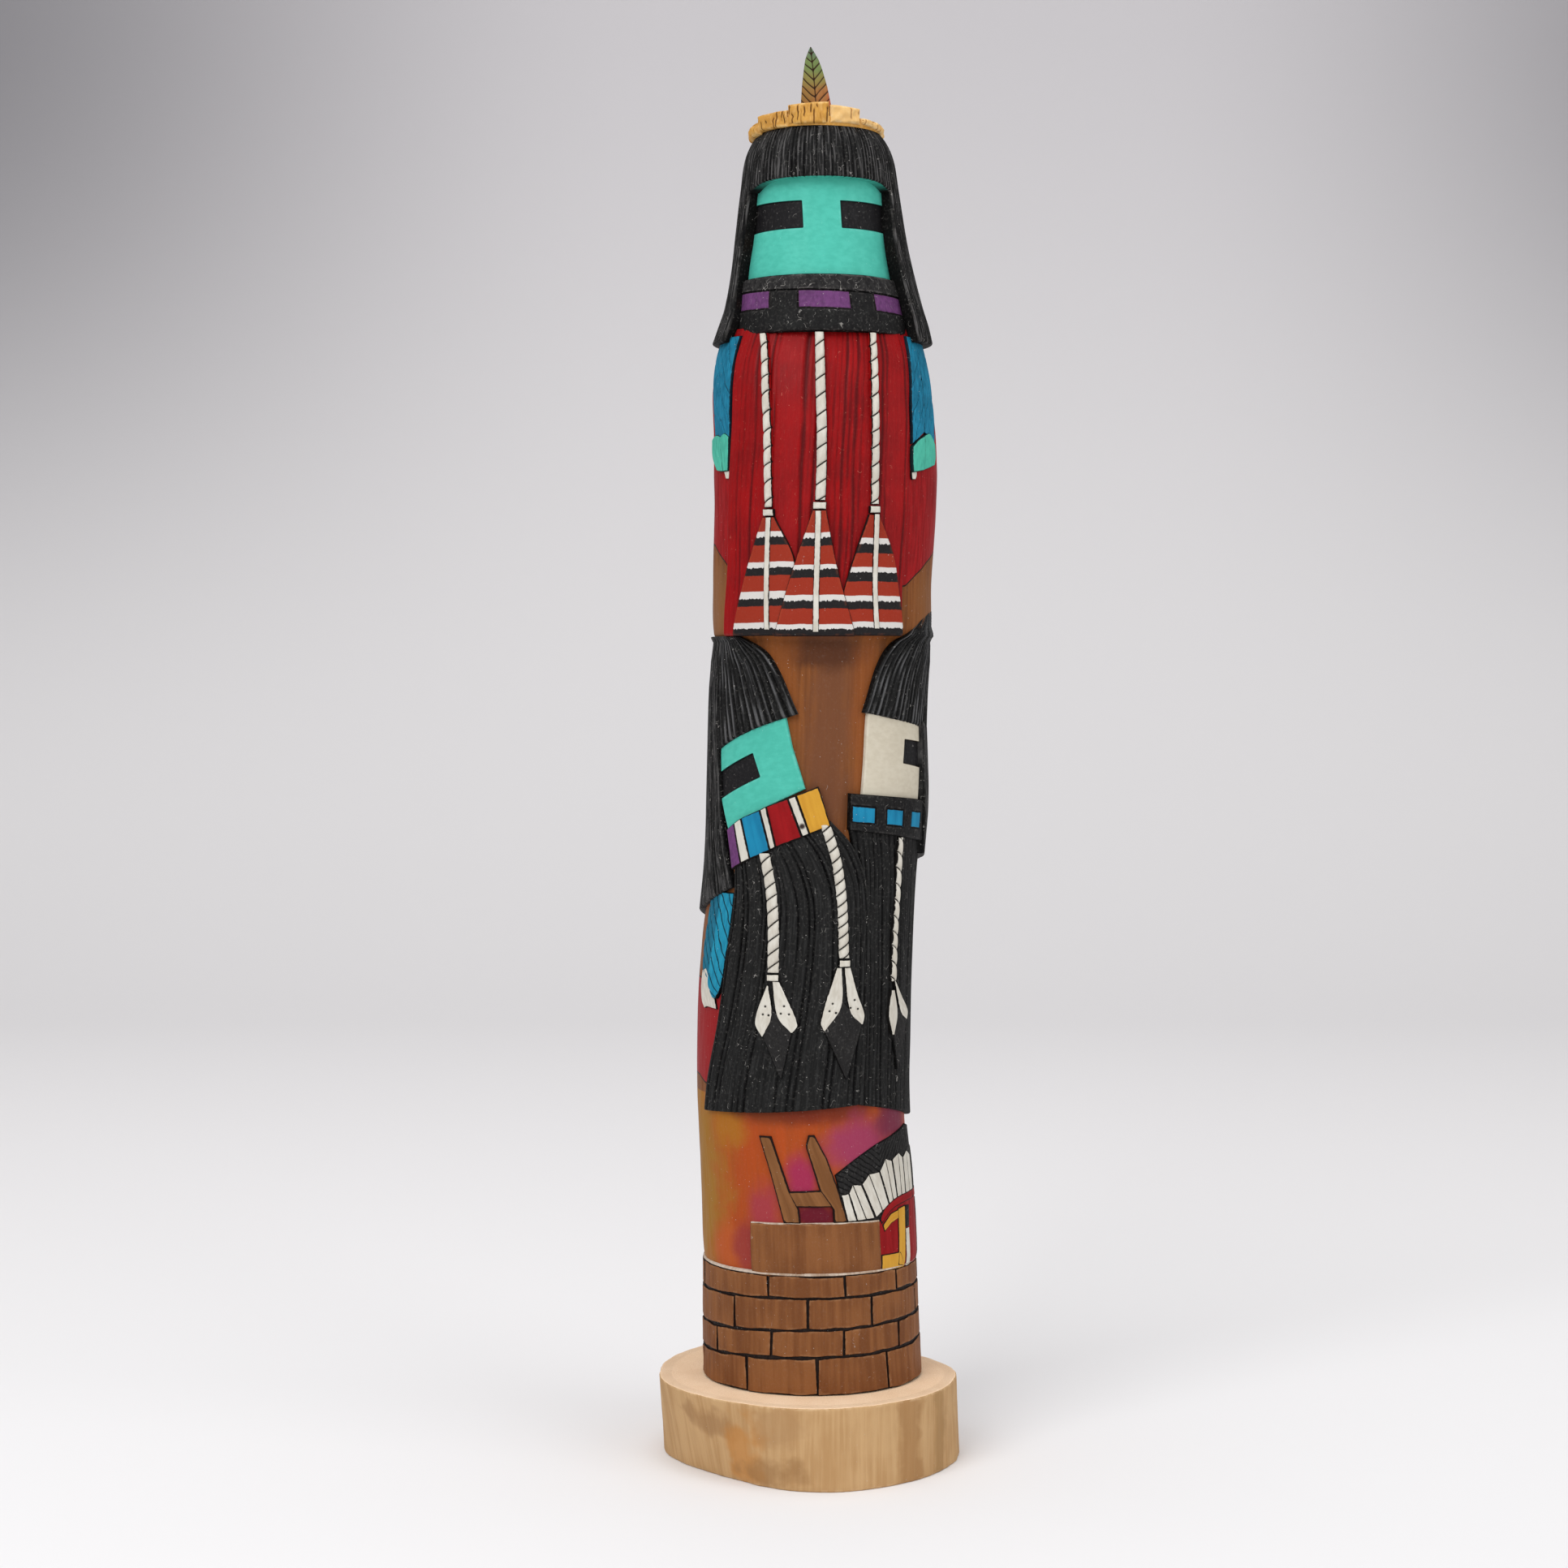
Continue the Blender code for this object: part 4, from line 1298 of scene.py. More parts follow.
    def _inner(self, lay: Lay, cells: Cells) -> np.ndarray:
        """Distance of each point to the nearest line between unlike cells.

        Args:
            lay: Where the points lie.
            cells: The cells of the sheet.

        Returns:
            The distances in millimetres.
        """
        kinds, posts, keys = cells.kinds, cells.posts, cells.keys
        bands, lanes = kinds.shape
        open_side = np.full((4, bands, lanes), FAR)
        for band, lane in np.ndindex(bands, lanes):
            near = ((band, lane - 1), (band, lane + 1), (band - 1, lane), (band + 1, lane))
            for side, (near_band, near_lane) in enumerate(near):
                if 0 <= near_band < bands and 0 <= near_lane < lanes:
                    if self.score_all or kinds[band, lane] != kinds[near_band, near_lane]:
                        open_side[side, band, lane] = 0.0
        wide = lay.width / posts[-1]
        long = lay.length / keys[-1]
        picked = open_side[:, cells.band[:, None], cells.lane[None, :]]
        away = [
            picked[0] + (cells.across - posts[cells.lane])[None, :] * wide,
            picked[1] + (posts[cells.lane + 1] - cells.across)[None, :] * wide,
            picked[2] + (cells.along - keys[cells.band])[:, None] * long,
            picked[3] + (keys[cells.band + 1] - cells.along)[:, None] * long,
        ]
        return np.abs(np.min(away, axis=0))

    def _close(self, form: Form, lay: Lay, cells: Cells, upper: np.ndarray, tone: np.ndarray,
               rim: np.ndarray) -> Shell:
        """Give the sheet its walls and its back.

        Args:
            form: The round form.
            lay: Where the points lie.
            cells: The cells of the sheet.
            upper: The points of the outer face.
            tone, rim: What the finishes read.

        Returns:
            The closed surface.
        """
        rows, columns = rim.shape
        number = np.arange(rows * columns).reshape(rows, columns)
        quads = np.stack([number[:-1, :-1], number[1:, :-1], number[1:, 1:], number[:-1, 1:]], axis=-1)
        slots = cells.kinds[np.ix_(cells.band[:-1], cells.lane[:-1])].reshape(-1).tolist()
        faces = [tuple(face) for face in quads.reshape(-1, 4).tolist()]
        loop = [(0, j) for j in range(columns)] + [(i, columns - 1) for i in range(1, rows)]
        loop += [(rows - 1, j) for j in range(columns - 2, -1, -1)]
        loop += [(i, 0) for i in range(rows - 2, 0, -1)]
        picks = np.arange(number.size) if self.shell else np.array([i * columns + j for i, j in loop])
        flat_bearing, flat_height = lay.bearing.reshape(-1)[picks], lay.height.reshape(-1)[picks]
        turned = flat_bearing + self.tuck * (1 - 2 * (lay.across / lay.width).reshape(-1)[picks])
        lower = form.place(turned, flat_height, np.full(len(picks), -self.sink))
        base = rows * columns
        if self.shell:
            below = {place: base + place[0] * columns + place[1] for place in loop}
            faces += [tuple(face) for face in (quads[..., [0, 3, 2, 1]] + base).reshape(-1, 4).tolist()]
            slots += [0] * ((rows - 1) * (columns - 1))
        else:
            below = {place: base + k for k, place in enumerate(loop)}
            faces.append(tuple(below[(0, j)] for j in range(columns)))
            faces.append(tuple(below[(rows - 1, j)] for j in range(columns - 1, -1, -1)))
            faces += [
                (below[(i, 0)], below[(i, columns - 1)], below[(i + 1, columns - 1)], below[(i + 1, 0)])
                for i in range(rows - 1)
            ]
            slots += [0] * (rows + 1)
        finishes = cells.finishes + ([self.wall_finish] if self.wall_finish else [])
        wall = len(finishes) - 1 if self.wall_finish else 0
        for (i0, j0), (i1, j1) in zip(loop, loop[1:] + loop[:1]):
            faces.append((int(number[i0, j0]), int(number[i1, j1]), below[(i1, j1)], below[(i0, j0)]))
            slots.append(wall)
        points = np.concatenate([upper.reshape(-1, 3), lower])
        even = lay.across / lay.width * lay.width.max()
        apart = np.full(rim.shape, lay.seed * SEED_GAP)
        place = np.stack([even, lay.along, apart], axis=-1).reshape(-1, 3)
        spot = np.stack([lay.bearing, lay.height, np.zeros(rim.shape)], axis=-1).reshape(-1, 3)
        return Shell(
            points, faces, slots, finishes, np.concatenate([place, place[picks]]),
            np.concatenate([spot, spot[picks]]),
            np.concatenate([tone.reshape(-1), np.ones(len(picks))]),
            np.concatenate([rim.reshape(-1), np.full(len(picks), self.wall_rim)]),
        )


def lathe(form: Form, profile: Sequence[tuple[float, float]], segments: int, finish: Finish,
          uneven: float = 0.0, seed: int = 0) -> Shell:
    """Closed body of rings around a form.

    Args:
        form: The round form.
        profile: Height and lift of each ring, from the bottom up.
        segments: Points around each ring.
        finish: The body's finish.
        uneven: Depth of the tool marks.
        seed: Makes the tool marks their own.

    Returns:
        The body as a closed surface.
    """
    turn = np.arange(segments) * 360.0 / segments
    heights = np.array([row[0] for row in profile])
    lifts = np.array([row[1] for row in profile])
    bearing, height = np.meshgrid(turn, heights)
    seam = np.minimum(turn, 360.0 - turn)[None, :]
    marks = noise(seam * form.ratio() / 4.0, height / 9.0, seed) - 1.0
    points = form.place(bearing, height, lifts[:, None] + uneven * marks)
    faces = ringed(len(heights), segments)
    signed = np.where(bearing > 180.0, bearing - 360.0, bearing)
    lay = np.stack([signed * form.ratio(), height, np.full(height.shape, seed * 3.7)], axis=-1)
    spot = np.stack([signed, height, np.zeros(height.shape)], axis=-1)
    return Shell(
        points.reshape(-1, 3), faces, [0] * len(faces), [finish], lay.reshape(-1, 3), spot.reshape(-1, 3),
        np.ones(bearing.size), np.full(bearing.size, FAR),
    )


@dataclass
class Piece:
    """One named object that is joined from closed surfaces."""

    name: str
    slot: str = "painted_wood"
    node: str = "carved_figure"
    shells: list[Shell] = field(default_factory=list)

    def add(self, form: Form, *sheets: Sheet) -> "Piece":
        """Lay sheets on a form and keep them.

        Args:
            form: The round form.
            sheets: The sheets to lay.

        Returns:
            The piece itself.
        """
        for sheet in sheets:
            self.shells.append(sheet.build(form, len(self.shells) + 7 * len(self.name)))
        return self

    def build(self) -> bpy.types.Object:
        """Make the object, dress it and place it in the frame.

        Returns:
            The finished object.
        """
        finishes: list[Finish] = []
        points: list[np.ndarray] = []
        faces: list[Face] = []
        slots: list[int] = []
        names = ("lay", "spot", "paint", "tone", "rim")
        stored: dict[str, list[np.ndarray]] = {name: [] for name in names}
        base = 0
        for shell in self.shells:
            for finish in shell.finishes:
                if finish not in finishes:
                    finishes.append(finish)
            table = [finishes.index(finish) for finish in shell.finishes]
            slots += [table[slot] for slot in shell.slots]
            faces += [tuple(corner + base for corner in face) for face in shell.faces]
            points.append(shell.points)
            paint = shell.paint if shell.paint is not None else np.full(shell.points.shape, -FAR)
            for name, values in zip(stored, (shell.lay, shell.spot, paint, shell.tone, shell.rim)):
                stored[name].append(values)
            base += len(shell.points)
        mesh = bpy.data.meshes.new(self.name)
        mesh.from_pydata(np.concatenate(points).tolist(), [], faces)
        for finish in finishes:
            mesh.materials.append(finish.material())
        mesh.polygons.foreach_set("material_index", slots)
        for name, parts in stored.items():
            values = np.concatenate(parts).astype(np.float32)
            kind, key = ("FLOAT_VECTOR", "vector") if values.ndim == 2 else ("FLOAT", "value")
            mesh.attributes.new(name, kind, "POINT").data.foreach_set(key, values.reshape(-1))
        mesh.shade_smooth()
        mesh.set_sharp_from_angle(angle=SHARP_ANGLE)
        mesh.update()
        made = bpy.data.objects.new(self.name, mesh)
        bpy.context.scene.collection.objects.link(made)
        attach(made, "root")
        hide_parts(self.node)
        LOG.info("%s: %d faces", self.name, len(mesh.polygons))
        return made


def mirrored(points: Points, about: float) -> list[tuple[float, float]]:
    """Points of a lane reflected about a bearing."""
    return [(2 * about - bearing, height) for bearing, height in points]


def strip(centre: Points, width: float) -> list[Points]:
    """Left and right lane beside a centre line on the trunk, a width apart."""
    half = width / 2 / TRUNK.ratio()
    return [[(b - half, h) for b, h in centre], [(b + half, h) for b, h in centre]]


CAP_RIDGES = Strands(depth=0.6, wander=0.2, spread=0.7, least=0.7)
BEARD_STRANDS = Strands(depth=0.6, pitch=1.7)
FINE = (0.4, 0.4)
MEDIUM = (0.5, 0.5)
COARSE = (0.8, 0.8)


@dataclass
class Trunk:
    """The root itself where it shows between the carved forms."""

    top: float = 333.4
    segments: int = 220
    row_step: float = 1.5
    waist: tuple[float, ...] = (234.6, 235.5, 236.5, 237.4)
    hem: Points = (
        (-180, 264), (-100, 267), (-78.9, 265.6), (-61.3, 259.8), (-50, 254), (0, 250), (47.2, 252.2),
        (57.6, 256.2), (68.7, 260), (83.5, 263.6), (110, 266), (180, 264),
    )
    sky_top: float = 92.0
    patch_low: Points = ((-100, 97), (-75.3, 97.1), (-66.6, 95.2), (-50, 94))
    patch_high: float = 128.0
    patch_bearings: tuple[float, float] = (-104, -50)

    def build(self) -> Objects:
        """Build the trunk with its painted ground.

        Returns:
            The trunk's object.
        """
        even = np.linspace(0.0, self.top, int(self.top / self.row_step))
        heights = sorted({*even.tolist(), *self.waist})
        shell = lathe(TRUNK, [(h, 0.0) for h in heights], self.segments, TRUNK_FINISH, 0.2, 3)
        bearing, height = shell.spot[:, 0], shell.spot[:, 1]
        hem = np.interp(bearing, *zip(*self.hem))
        robe = height - hem
        low = np.interp(bearing, *zip(*self.patch_low))
        left, right = self.patch_bearings
        sides = np.minimum(bearing - left, right - bearing) * TRUNK.ratio()
        patch = np.minimum(np.minimum(height - low, self.patch_high - height), sides)
        sky = self.sky_top - height
        shell.paint = np.stack([robe, patch, sky], axis=-1)
        return [Piece("trunk", shells=[shell]).build()]


@dataclass
class UpperHead:
    """Head with bangs, long hair, turquoise face, black eyes and collar."""

    strand: float = 1.5
    bang_sink: float = 5.6
    curtain_sink: float = 16.0
    curtain_tuck: float = 31.0
    eye_drop: float = 0.5
    fringe: Points = (
        (-63, 376.2), (-48, 378.4), (-30, 379.1), (0, 379.3), (30, 379.2), (48, 378.6),
        (63, 376.4),
    )
    curtain_rows: tuple[float, ...] = (398, 381, 360, 347, 334)
    curtain_left: tuple[float, ...] = (62.8, 62.8, 59, 60, 60.5)
    curtain_right: tuple[float, ...] = (297.2, 297.2, 294, 293, 297)
    curtain_hem: Points = ((60.5, 329.2), (120, 329.4), (180, 329.6), (240, 329.4), (295, 329.2))
    face_rows: tuple[float, ...] = (384, 372.3, 363.9, 347)
    collar_lanes: tuple[float, ...] = (-96.0, -37.2, -16.2, 19.5, 37.5, 96.0)
    collar_rows: tuple[float, ...] = (349.2, 344.0, 338.2, 331.0)

    def build(self) -> Objects:
        """Build the head.

        Returns:
            The head's objects.
        """
        hair = Strands(depth=0.4, pitch=self.strand, wander=0.3, spread=0.6, least=0.45, fixed=True)
        step = (self.strand / 5, 1.6)
        # The bangs' underside takes the darker turquoise finish: painted shade.
        cap = Piece("hair_cap").add(LOCKS, Sheet(
            [[(b, 398.0), (b, 388.0), (b, h)] for b, h in self.fringe], HAIR, (0.0,), hair, rim=0.7,
            sides="b", sink=self.bang_sink, step=step, wall_rim=9.0, wall_finish=SHADED_TURQUOISE_UNDER))
        cap.shells.append(lathe(LOCKS, ((384.5, -3), (390, -2.2), (397.9, -1.4)), 64, HAIR))
        level = len(self.curtain_rows)
        inner = ([hem[0]] * level for hem in self.curtain_hem[1:-1])
        ways = [self.curtain_left, *inner, self.curtain_right]
        lanes = [[*zip(way, self.curtain_rows), hem] for way, hem in zip(ways, self.curtain_hem)]
        # The curtain's inner walls take the darker hair finish: painted shade.
        locks = Piece("hair_curtain").add(LOCKS, Sheet(
            lanes, HAIR, (0.0,), hair, rim=1.0, sides="lrb", sink=self.curtain_sink, step=step,
            keyed=True, shell=True, tuck=self.curtain_tuck, wall_rim=9.0, wall_finish=SHADED_HAIR_INSIDE))
        back = Piece("back_hair").add(TRUNK, Sheet(
            [[(118, 331), (124, 262)], [(180, 331), (180, 258)], [(242, 331), (236, 262)]],
            HAIR, (2.0,), Strands(depth=0.35, pitch=self.strand), step=step))
        crown, brow, cheek, chin = self.face_rows
        eye = (EYE, self.eye_drop)
        face = Piece("upper_face").add(HEAD, Sheet(
            [[(-93, crown), (-93, brow + 0.2), (-93, cheek - 0.3), (-93, chin)],
             [(-16.8, crown), (-15.6, brow), (-14.3, cheek), (-13, chin)],
             [(16.2, crown), (16.8, brow), (17.7, cheek), (18.4, chin)],
             [(93, crown), (93, brow), (93, cheek - 0.2), (93, chin)]],
            TURQUOISE, (0.0,), Relief(0.12), rim=0.35, sides="", step=(0.9, 0.9), smooth=False,
            keyed=True, cells={(1, 0): eye, (1, 2): eye}, score=0.02))
        top, row, low, foot = self.collar_rows
        count = len(self.collar_lanes) - 1
        cells = {(1, lane): (BLACK if lane % 2 else PURPLE, 0.25) for lane in range(count)}
        # The collar's top band takes the paler grey black, its rims lightened as worn paint and painted
        # highlight.
        cells.update({(0, lane): (WORN_LIT_BLACK, 0.0) for lane in range(count)})
        collar = Piece("upper_collar").add(HEAD, Sheet(
            [[(b, top - 0.5 * (b > 50)), (b, row - b * 0.012), (b, low - b * 0.01), (b, foot)]
             for b in self.collar_lanes], BLACK, (1.8, 2.5, 2.9, 3.1), Relief(0.3), rim=1.2,
            step=(0.7, 0.5), smooth=False, keyed=True, cells=cells, score=0.3))
        return [piece.build() for piece in (cap, locks, back, face, collar)]


@dataclass
class RedBeard:
    """Red beard with three laid cords that end in striped feathers."""

    beard_lift: tuple[float, float] = (0.6, 2.3)
    cord_lift: float = 3.4
    cord_pitch: float = 5.4
    plume_lift: float = 3.0
    spine_width: float = 1.7
    strand: float = 1.7
    cords: tuple[tuple[float, Points, Points], ...] = (
        (2.5, ((-34, 331), (-31.2, 325.6), (-29.3, 317), (-29.1, 302), (-29.2, 288), (-28.6, 276.2)),
         ((-28.3, 275.7), (-28.1, 273.5))),
        (3.0, ((-1.4, 331), (-1, 325), (-1, 317), (-2, 301.5), (-2.7, 286), (-3.1, 278.1)),
         ((-3.2, 277.7), (-3.3, 275.4))),
        (2.4, ((29, 331), (28.1, 325.5), (26.7, 317), (24.4, 301.7), (23.5, 286), (23.5, 277.1)),
         ((23.4, 276.6), (23.4, 274.4))),
    )
    plumes: tuple[tuple[Points, Points, float], ...] = (
        (((-31.5, 273.3), (-39.5, 257.6), (-48.8, 238.7), (-49.5, 236.5)),
         ((-25.2, 273.3), (-14.1, 259.5), (-15, 245), (-18, 236.5)), 0.0),
        (((20.5, 274), (12.7, 257.3), (9, 247), (11, 236.5)),
         ((25.7, 274), (35.9, 260), (40.1, 247.5), (42.5, 236.5)), 0.0),
        (((-6.5, 275.2), (-13.6, 259.8), (-24.2, 236.3)),
         ((-0.1, 275.2), (5.4, 259.8), (15.7, 236.3)), 0.45),
    )
    spines: tuple[Points, ...] = (
        ((-28, 273.2), (-27.8, 238.3)), ((24.3, 274.2), (25.5, 244.8), (26.3, 238.6)),
        ((-3.8, 275), (-3.3, 257.2), (-3.6, 237.5)),
    )

    def build(self) -> Objects:
        """Build the beard, its cords and its feathers.

        Returns:
            The objects.
        """
        locks = Strands(depth=0.3, pitch=self.strand, wander=0.45, spread=0.95, least=0.1)
        beard = Piece("red_beard").add(TRUNK, Sheet(
            [[(-52, 333), (-53.9, 324), (-53.3, 313), (-57.5, 278), (-56.3, 257), (-58.9, 236.6)],
             [(53, 333), (53, 324), (49.3, 313.5), (44.8, 290), (44.6, 270), (42.5, 236.6)]],
            RED_BEARD, self.beard_lift, locks, rim=0.9, step=(self.strand / 6, 1.5), wall_rim=2.0))
        cords = Piece("upper_cords")
        for width, centre, knot in self.cords:
            cords.add(
                TRUNK,
                Sheet(strip(centre, width), WHITE, (self.cord_lift,), Twist(pitch=self.cord_pitch), rim=0.9,
                      step=(0.25, 0.25), wall_rim=4.0, wall_finish=RED_BEARD),
                Sheet(strip(knot, width + 0.7), WHITE, (self.cord_lift + 0.1,), Relief(0.1), rim=0.7,
                      step=MEDIUM),
            )
        plumes = Piece("striped_feathers")
        for (left, right, extra), spine, paint in zip(
                self.plumes, self.spines, (LEFT_STRIPES, RIGHT_STRIPES, MIDDLE_STRIPES)):
            lift = self.plume_lift + extra
            plumes.add(
                TRUNK,
                Sheet([left, right], paint, (lift,), Barbs(depth=0.08, dark=0.2), rim=0.4,
                      step=(0.4, 0.45)),
                Sheet(strip(spine, self.spine_width), WHITE, (lift + 0.45,), Relief(0.08), rim=0.55,
                      step=(0.4, 1.5)),
            )
        return [piece.build() for piece in (beard, cords, plumes)]


@dataclass
class SideFeathers:
    """Blue feathers under the long hair and beside the left beard."""

    upper_web: Barbs = Barbs(depth=0.4, pitch=9.0, slope=-2.0, spine=0.0, dark=0.8, width=0.4)
    lower_web: Barbs = Barbs(depth=0.4, pitch=5.2, slope=-1.5, spine=0.0, dark=1.0, width=0.5)
    right_pitch: float = 9.5

    def build(self) -> Objects:
        """Build the upper and lower side feathers.

        Returns:
            The objects.
        """
        left, low, plain = self.upper_web, self.lower_web, Relief()
        right = replace(left, pitch=self.right_pitch, slope=-left.slope)
        upper = (
            (DEEP_BLUE, 0.9, left, 0.45,
             [[(-86, 331), (-76, 314), (-73, 299)], [(-66, 331), (-64.5, 314), (-64, 299)]]),
            (DEEP_BLUE, 1.15, left, 0.45,
             [[(-66.5, 331), (-64.8, 314), (-64.2, 299)], [(-53.5, 331), (-54, 314), (-55.6, 299)]]),
            (TEAL_TIP, 1.2, plain, 0.5,
             [[(-78.5, 299), (-78, 294), (-70, 288.9)], [(-70, 300.2), (-69.5, 294), (-66, 288.5)],
              [(-63.8, 299.4), (-63.8, 294), (-62, 288.3)]]),
            (TEAL_TIP, 1.35, plain, 0.5,
             [[(-64.4, 299.4), (-64, 294), (-62, 288.3)], [(-60, 300.4), (-60, 294), (-59.5, 288.3)],
              [(-55.8, 299.2), (-56.2, 294), (-57, 288.3)]]),
            (WHITE, 0.8, plain, 0.4, [[(-62.6, 288.8), (-60.5, 286)], [(-56.7, 288.8), (-57.3, 285.9)]]),
            (DEEP_BLUE, 1.15, right, 0.45,
             [[(57, 331), (53.5, 319), (49.6, 308.5), (47.6, 296.5)],
              [(68, 331), (64, 320), (62, 311), (58.6, 300.6)]]),
            (DEEP_BLUE, 0.95, right, 0.45,
             [[(68, 331), (64.2, 320), (62.2, 311), (58.8, 300.6)],
              [(88, 331), (79, 316), (74, 305), (71.4, 297.6)]]),
            (TEAL_TIP, 1.35, plain, 0.5,
             [[(47.6, 295.7), (47.2, 291.4), (47.6, 287.6)], [(52.6, 298), (52.4, 293), (51.8, 288)],
              [(58.5, 299.5), (58.4, 294), (57.2, 288.6)]]),
            (TEAL_TIP, 1.15, plain, 0.5,
             [[(58.2, 299.5), (58.2, 294), (57, 288.6)], [(64.5, 300.4), (64.5, 295), (63.4, 289.6)],
              [(71.2, 297.4), (71.8, 293.4), (69.8, 290.6)]]),
            (WHITE, 0.8, plain, 0.4,
             [[(47.4, 288.2), (47.2, 286.9), (47.8, 285.4)],
              [(51.4, 288.2), (51.4, 286.8), (50.4, 285.5)]]),
        )
        lower = (
            # Rear feather in the darker blue: painted shade.
            (SHADED_BLUE, 0.75, low, 0.5,
             [[(-69, 156), (-71.2, 145), (-72.4, 137), (-71, 129.8)],
              [(-54, 156), (-57, 142), (-58, 133), (-60.4, 127.6)]]),
            (WHITE, 0.7, plain, 0.5,
             [[(-71.6, 130.6), (-72.6, 125), (-70.2, 121), (-66, 118.8)],
              [(-66.5, 131.4), (-66, 126), (-64, 121.6), (-62, 119.4)],
              [(-60.2, 127.4), (-57.3, 124.4), (-54.6, 121.8), (-52.6, 119)]]),
            (SKY_BLUE, 1.5, low, 0.6,
             [[(-56, 156), (-57.8, 142), (-60.6, 131), (-60.6, 126.4), (-55.4, 122.6)],
              [(-44.5, 156), (-45, 142), (-47, 130), (-48.6, 126), (-52.6, 122.4)]]),
        )
        pieces = []
        for name, vanes in (("upper_blue_feathers", upper), ("lower_blue_feathers", lower)):
            piece = Piece(name)
            for paint, lift, web, rim, lanes in vanes:
                step = MEDIUM if paint is WHITE else FINE
                piece.add(TRUNK, Sheet(lanes, paint, (lift,), web, rim=rim, step=step))
            pieces.append(piece)
        return [piece.build() for piece in pieces]


@dataclass
class LeftHead:
    """Turquoise profile head on the left, with its collar and black beard."""

    cap_lift: tuple[float, ...] = (1.8, 2.8, 2.9, 2.9, 2.9)
    curtain_lift: tuple[float, ...] = (1.7, 2.9, 3.3, 3.3, 3.2, 3.0, 2.8, 2.6, 2.4, 2.3, 2.2, 2.0)
    face_lift: float = 1.6
    eye_drop: float = 0.5
    collar_lift: float = 3.1
    beard_lift: float = 2.3
    strand: float = 1.8
    collar_tops: Points = (
        (-51.6, 175.9), (-46.3, 178), (-41.4, 179.7), (-30.1, 182.4), (-26.5, 183.5), (-15.1, 186),
        (-10.9, 187), (0.4, 189.7),
    )
    collar_feet: Points = (
        (-45.6, 163.4), (-39.3, 165.5), (-33.8, 166.9), (-22.6, 169.9), (-19.7, 170.8), (-6.2, 174),
        (-2.6, 175), (7.9, 177.5),
    )
    collar_tints: tuple[Finish, ...] = (
        PURPLE, EDGED_WHITE, BLUE, EDGED_WHITE, SCARLET, KNOT_WHITE, YELLOW,
    )

    def build(self) -> Objects:
        """Build the left head.

        Returns:
            The objects.
        """
        ridges = replace(CAP_RIDGES, pitch=self.strand)
        cap = Piece("left_cap").add(TRUNK, Sheet(
            [[(-72, 236.6), (-73, 218), (-70, 199.6)],
             [(-64, 236.6), (-60, 220), (-59, 202.4)],
             [(-54, 236.6), (-42, 222), (-36, 207.6)],
             [(-48, 236.4), (-29.2, 230.3), (-11.7, 212.2)]],
            CAP_HAIR, self.cap_lift, ridges, rim=0.8, sides="rtb", step=(self.strand / 6, 1.0)))
        curtain = Piece("left_curtain").add(TRUNK, Sheet(
            [[(-110, 236.6), (-110, 200), (-110, 146)], [(-88, 236.6), (-86, 200), (-80, 150.6)],
             [(-67, 236.6), (-66, 214), (-64.5, 200), (-62, 190), (-58, 178), (-52, 168),
              (-45.7, 157.9)]],
            HAIR, self.curtain_lift, Strands(depth=0.5, pitch=1.6, wander=0.3), rim=0.7,
            step=(0.3, 1.2)))
        face = Piece("left_face").add(TRUNK, Sheet(
            [[(-66, 203.2), (-65.2, 193.3), (-61.8, 185.3), (-53.4, 175.8)],
             [(-44.6, 207.6), (-37.5, 199.9), (-32.1, 192.6), (-26, 183.4)],
             [(-18.6, 211.4), (-14.6, 202), (-11, 196.2), (-6.5, 188.9)]],
            TURQUOISE, (self.face_lift,), Relief(0.12), rim=0.5, step=COARSE, smooth=False,
            keyed=True, cells={(1, 0): (EYE, self.eye_drop)}, score=0.02))
        cells = {(0, lane): (tint, 0.0) for lane, tint in enumerate(self.collar_tints)}
        collar = Piece("left_collar").add(TRUNK, Sheet(
            [*zip(self.collar_tops, self.collar_feet)], PURPLE, (self.collar_lift,), Relief(0.2),
            rim=0.6, step=COARSE, smooth=False, cells=cells, score=0.42, score_all=True))
        beard = Piece("left_beard").add(TRUNK, Sheet(
            [[(-45.5, 166), (-43.8, 156), (-44.2, 142), (-49.4, 115.2), (-58.2, 95.4), (-61.3, 86.7)],
             [(-18, 172), (-16, 160), (-15, 142), (-14, 118), (-14, 100), (-14, 88.3)],
             [(8, 179), (22, 170.5), (32, 158), (35.8, 135), (36, 112), (33.2, 90.2)]],
            BEARD, (self.beard_lift,), BEARD_STRANDS, rim=0.8, step=(0.3, 1.4)))
        return [piece.build() for piece in (cap, curtain, face, collar, beard)]


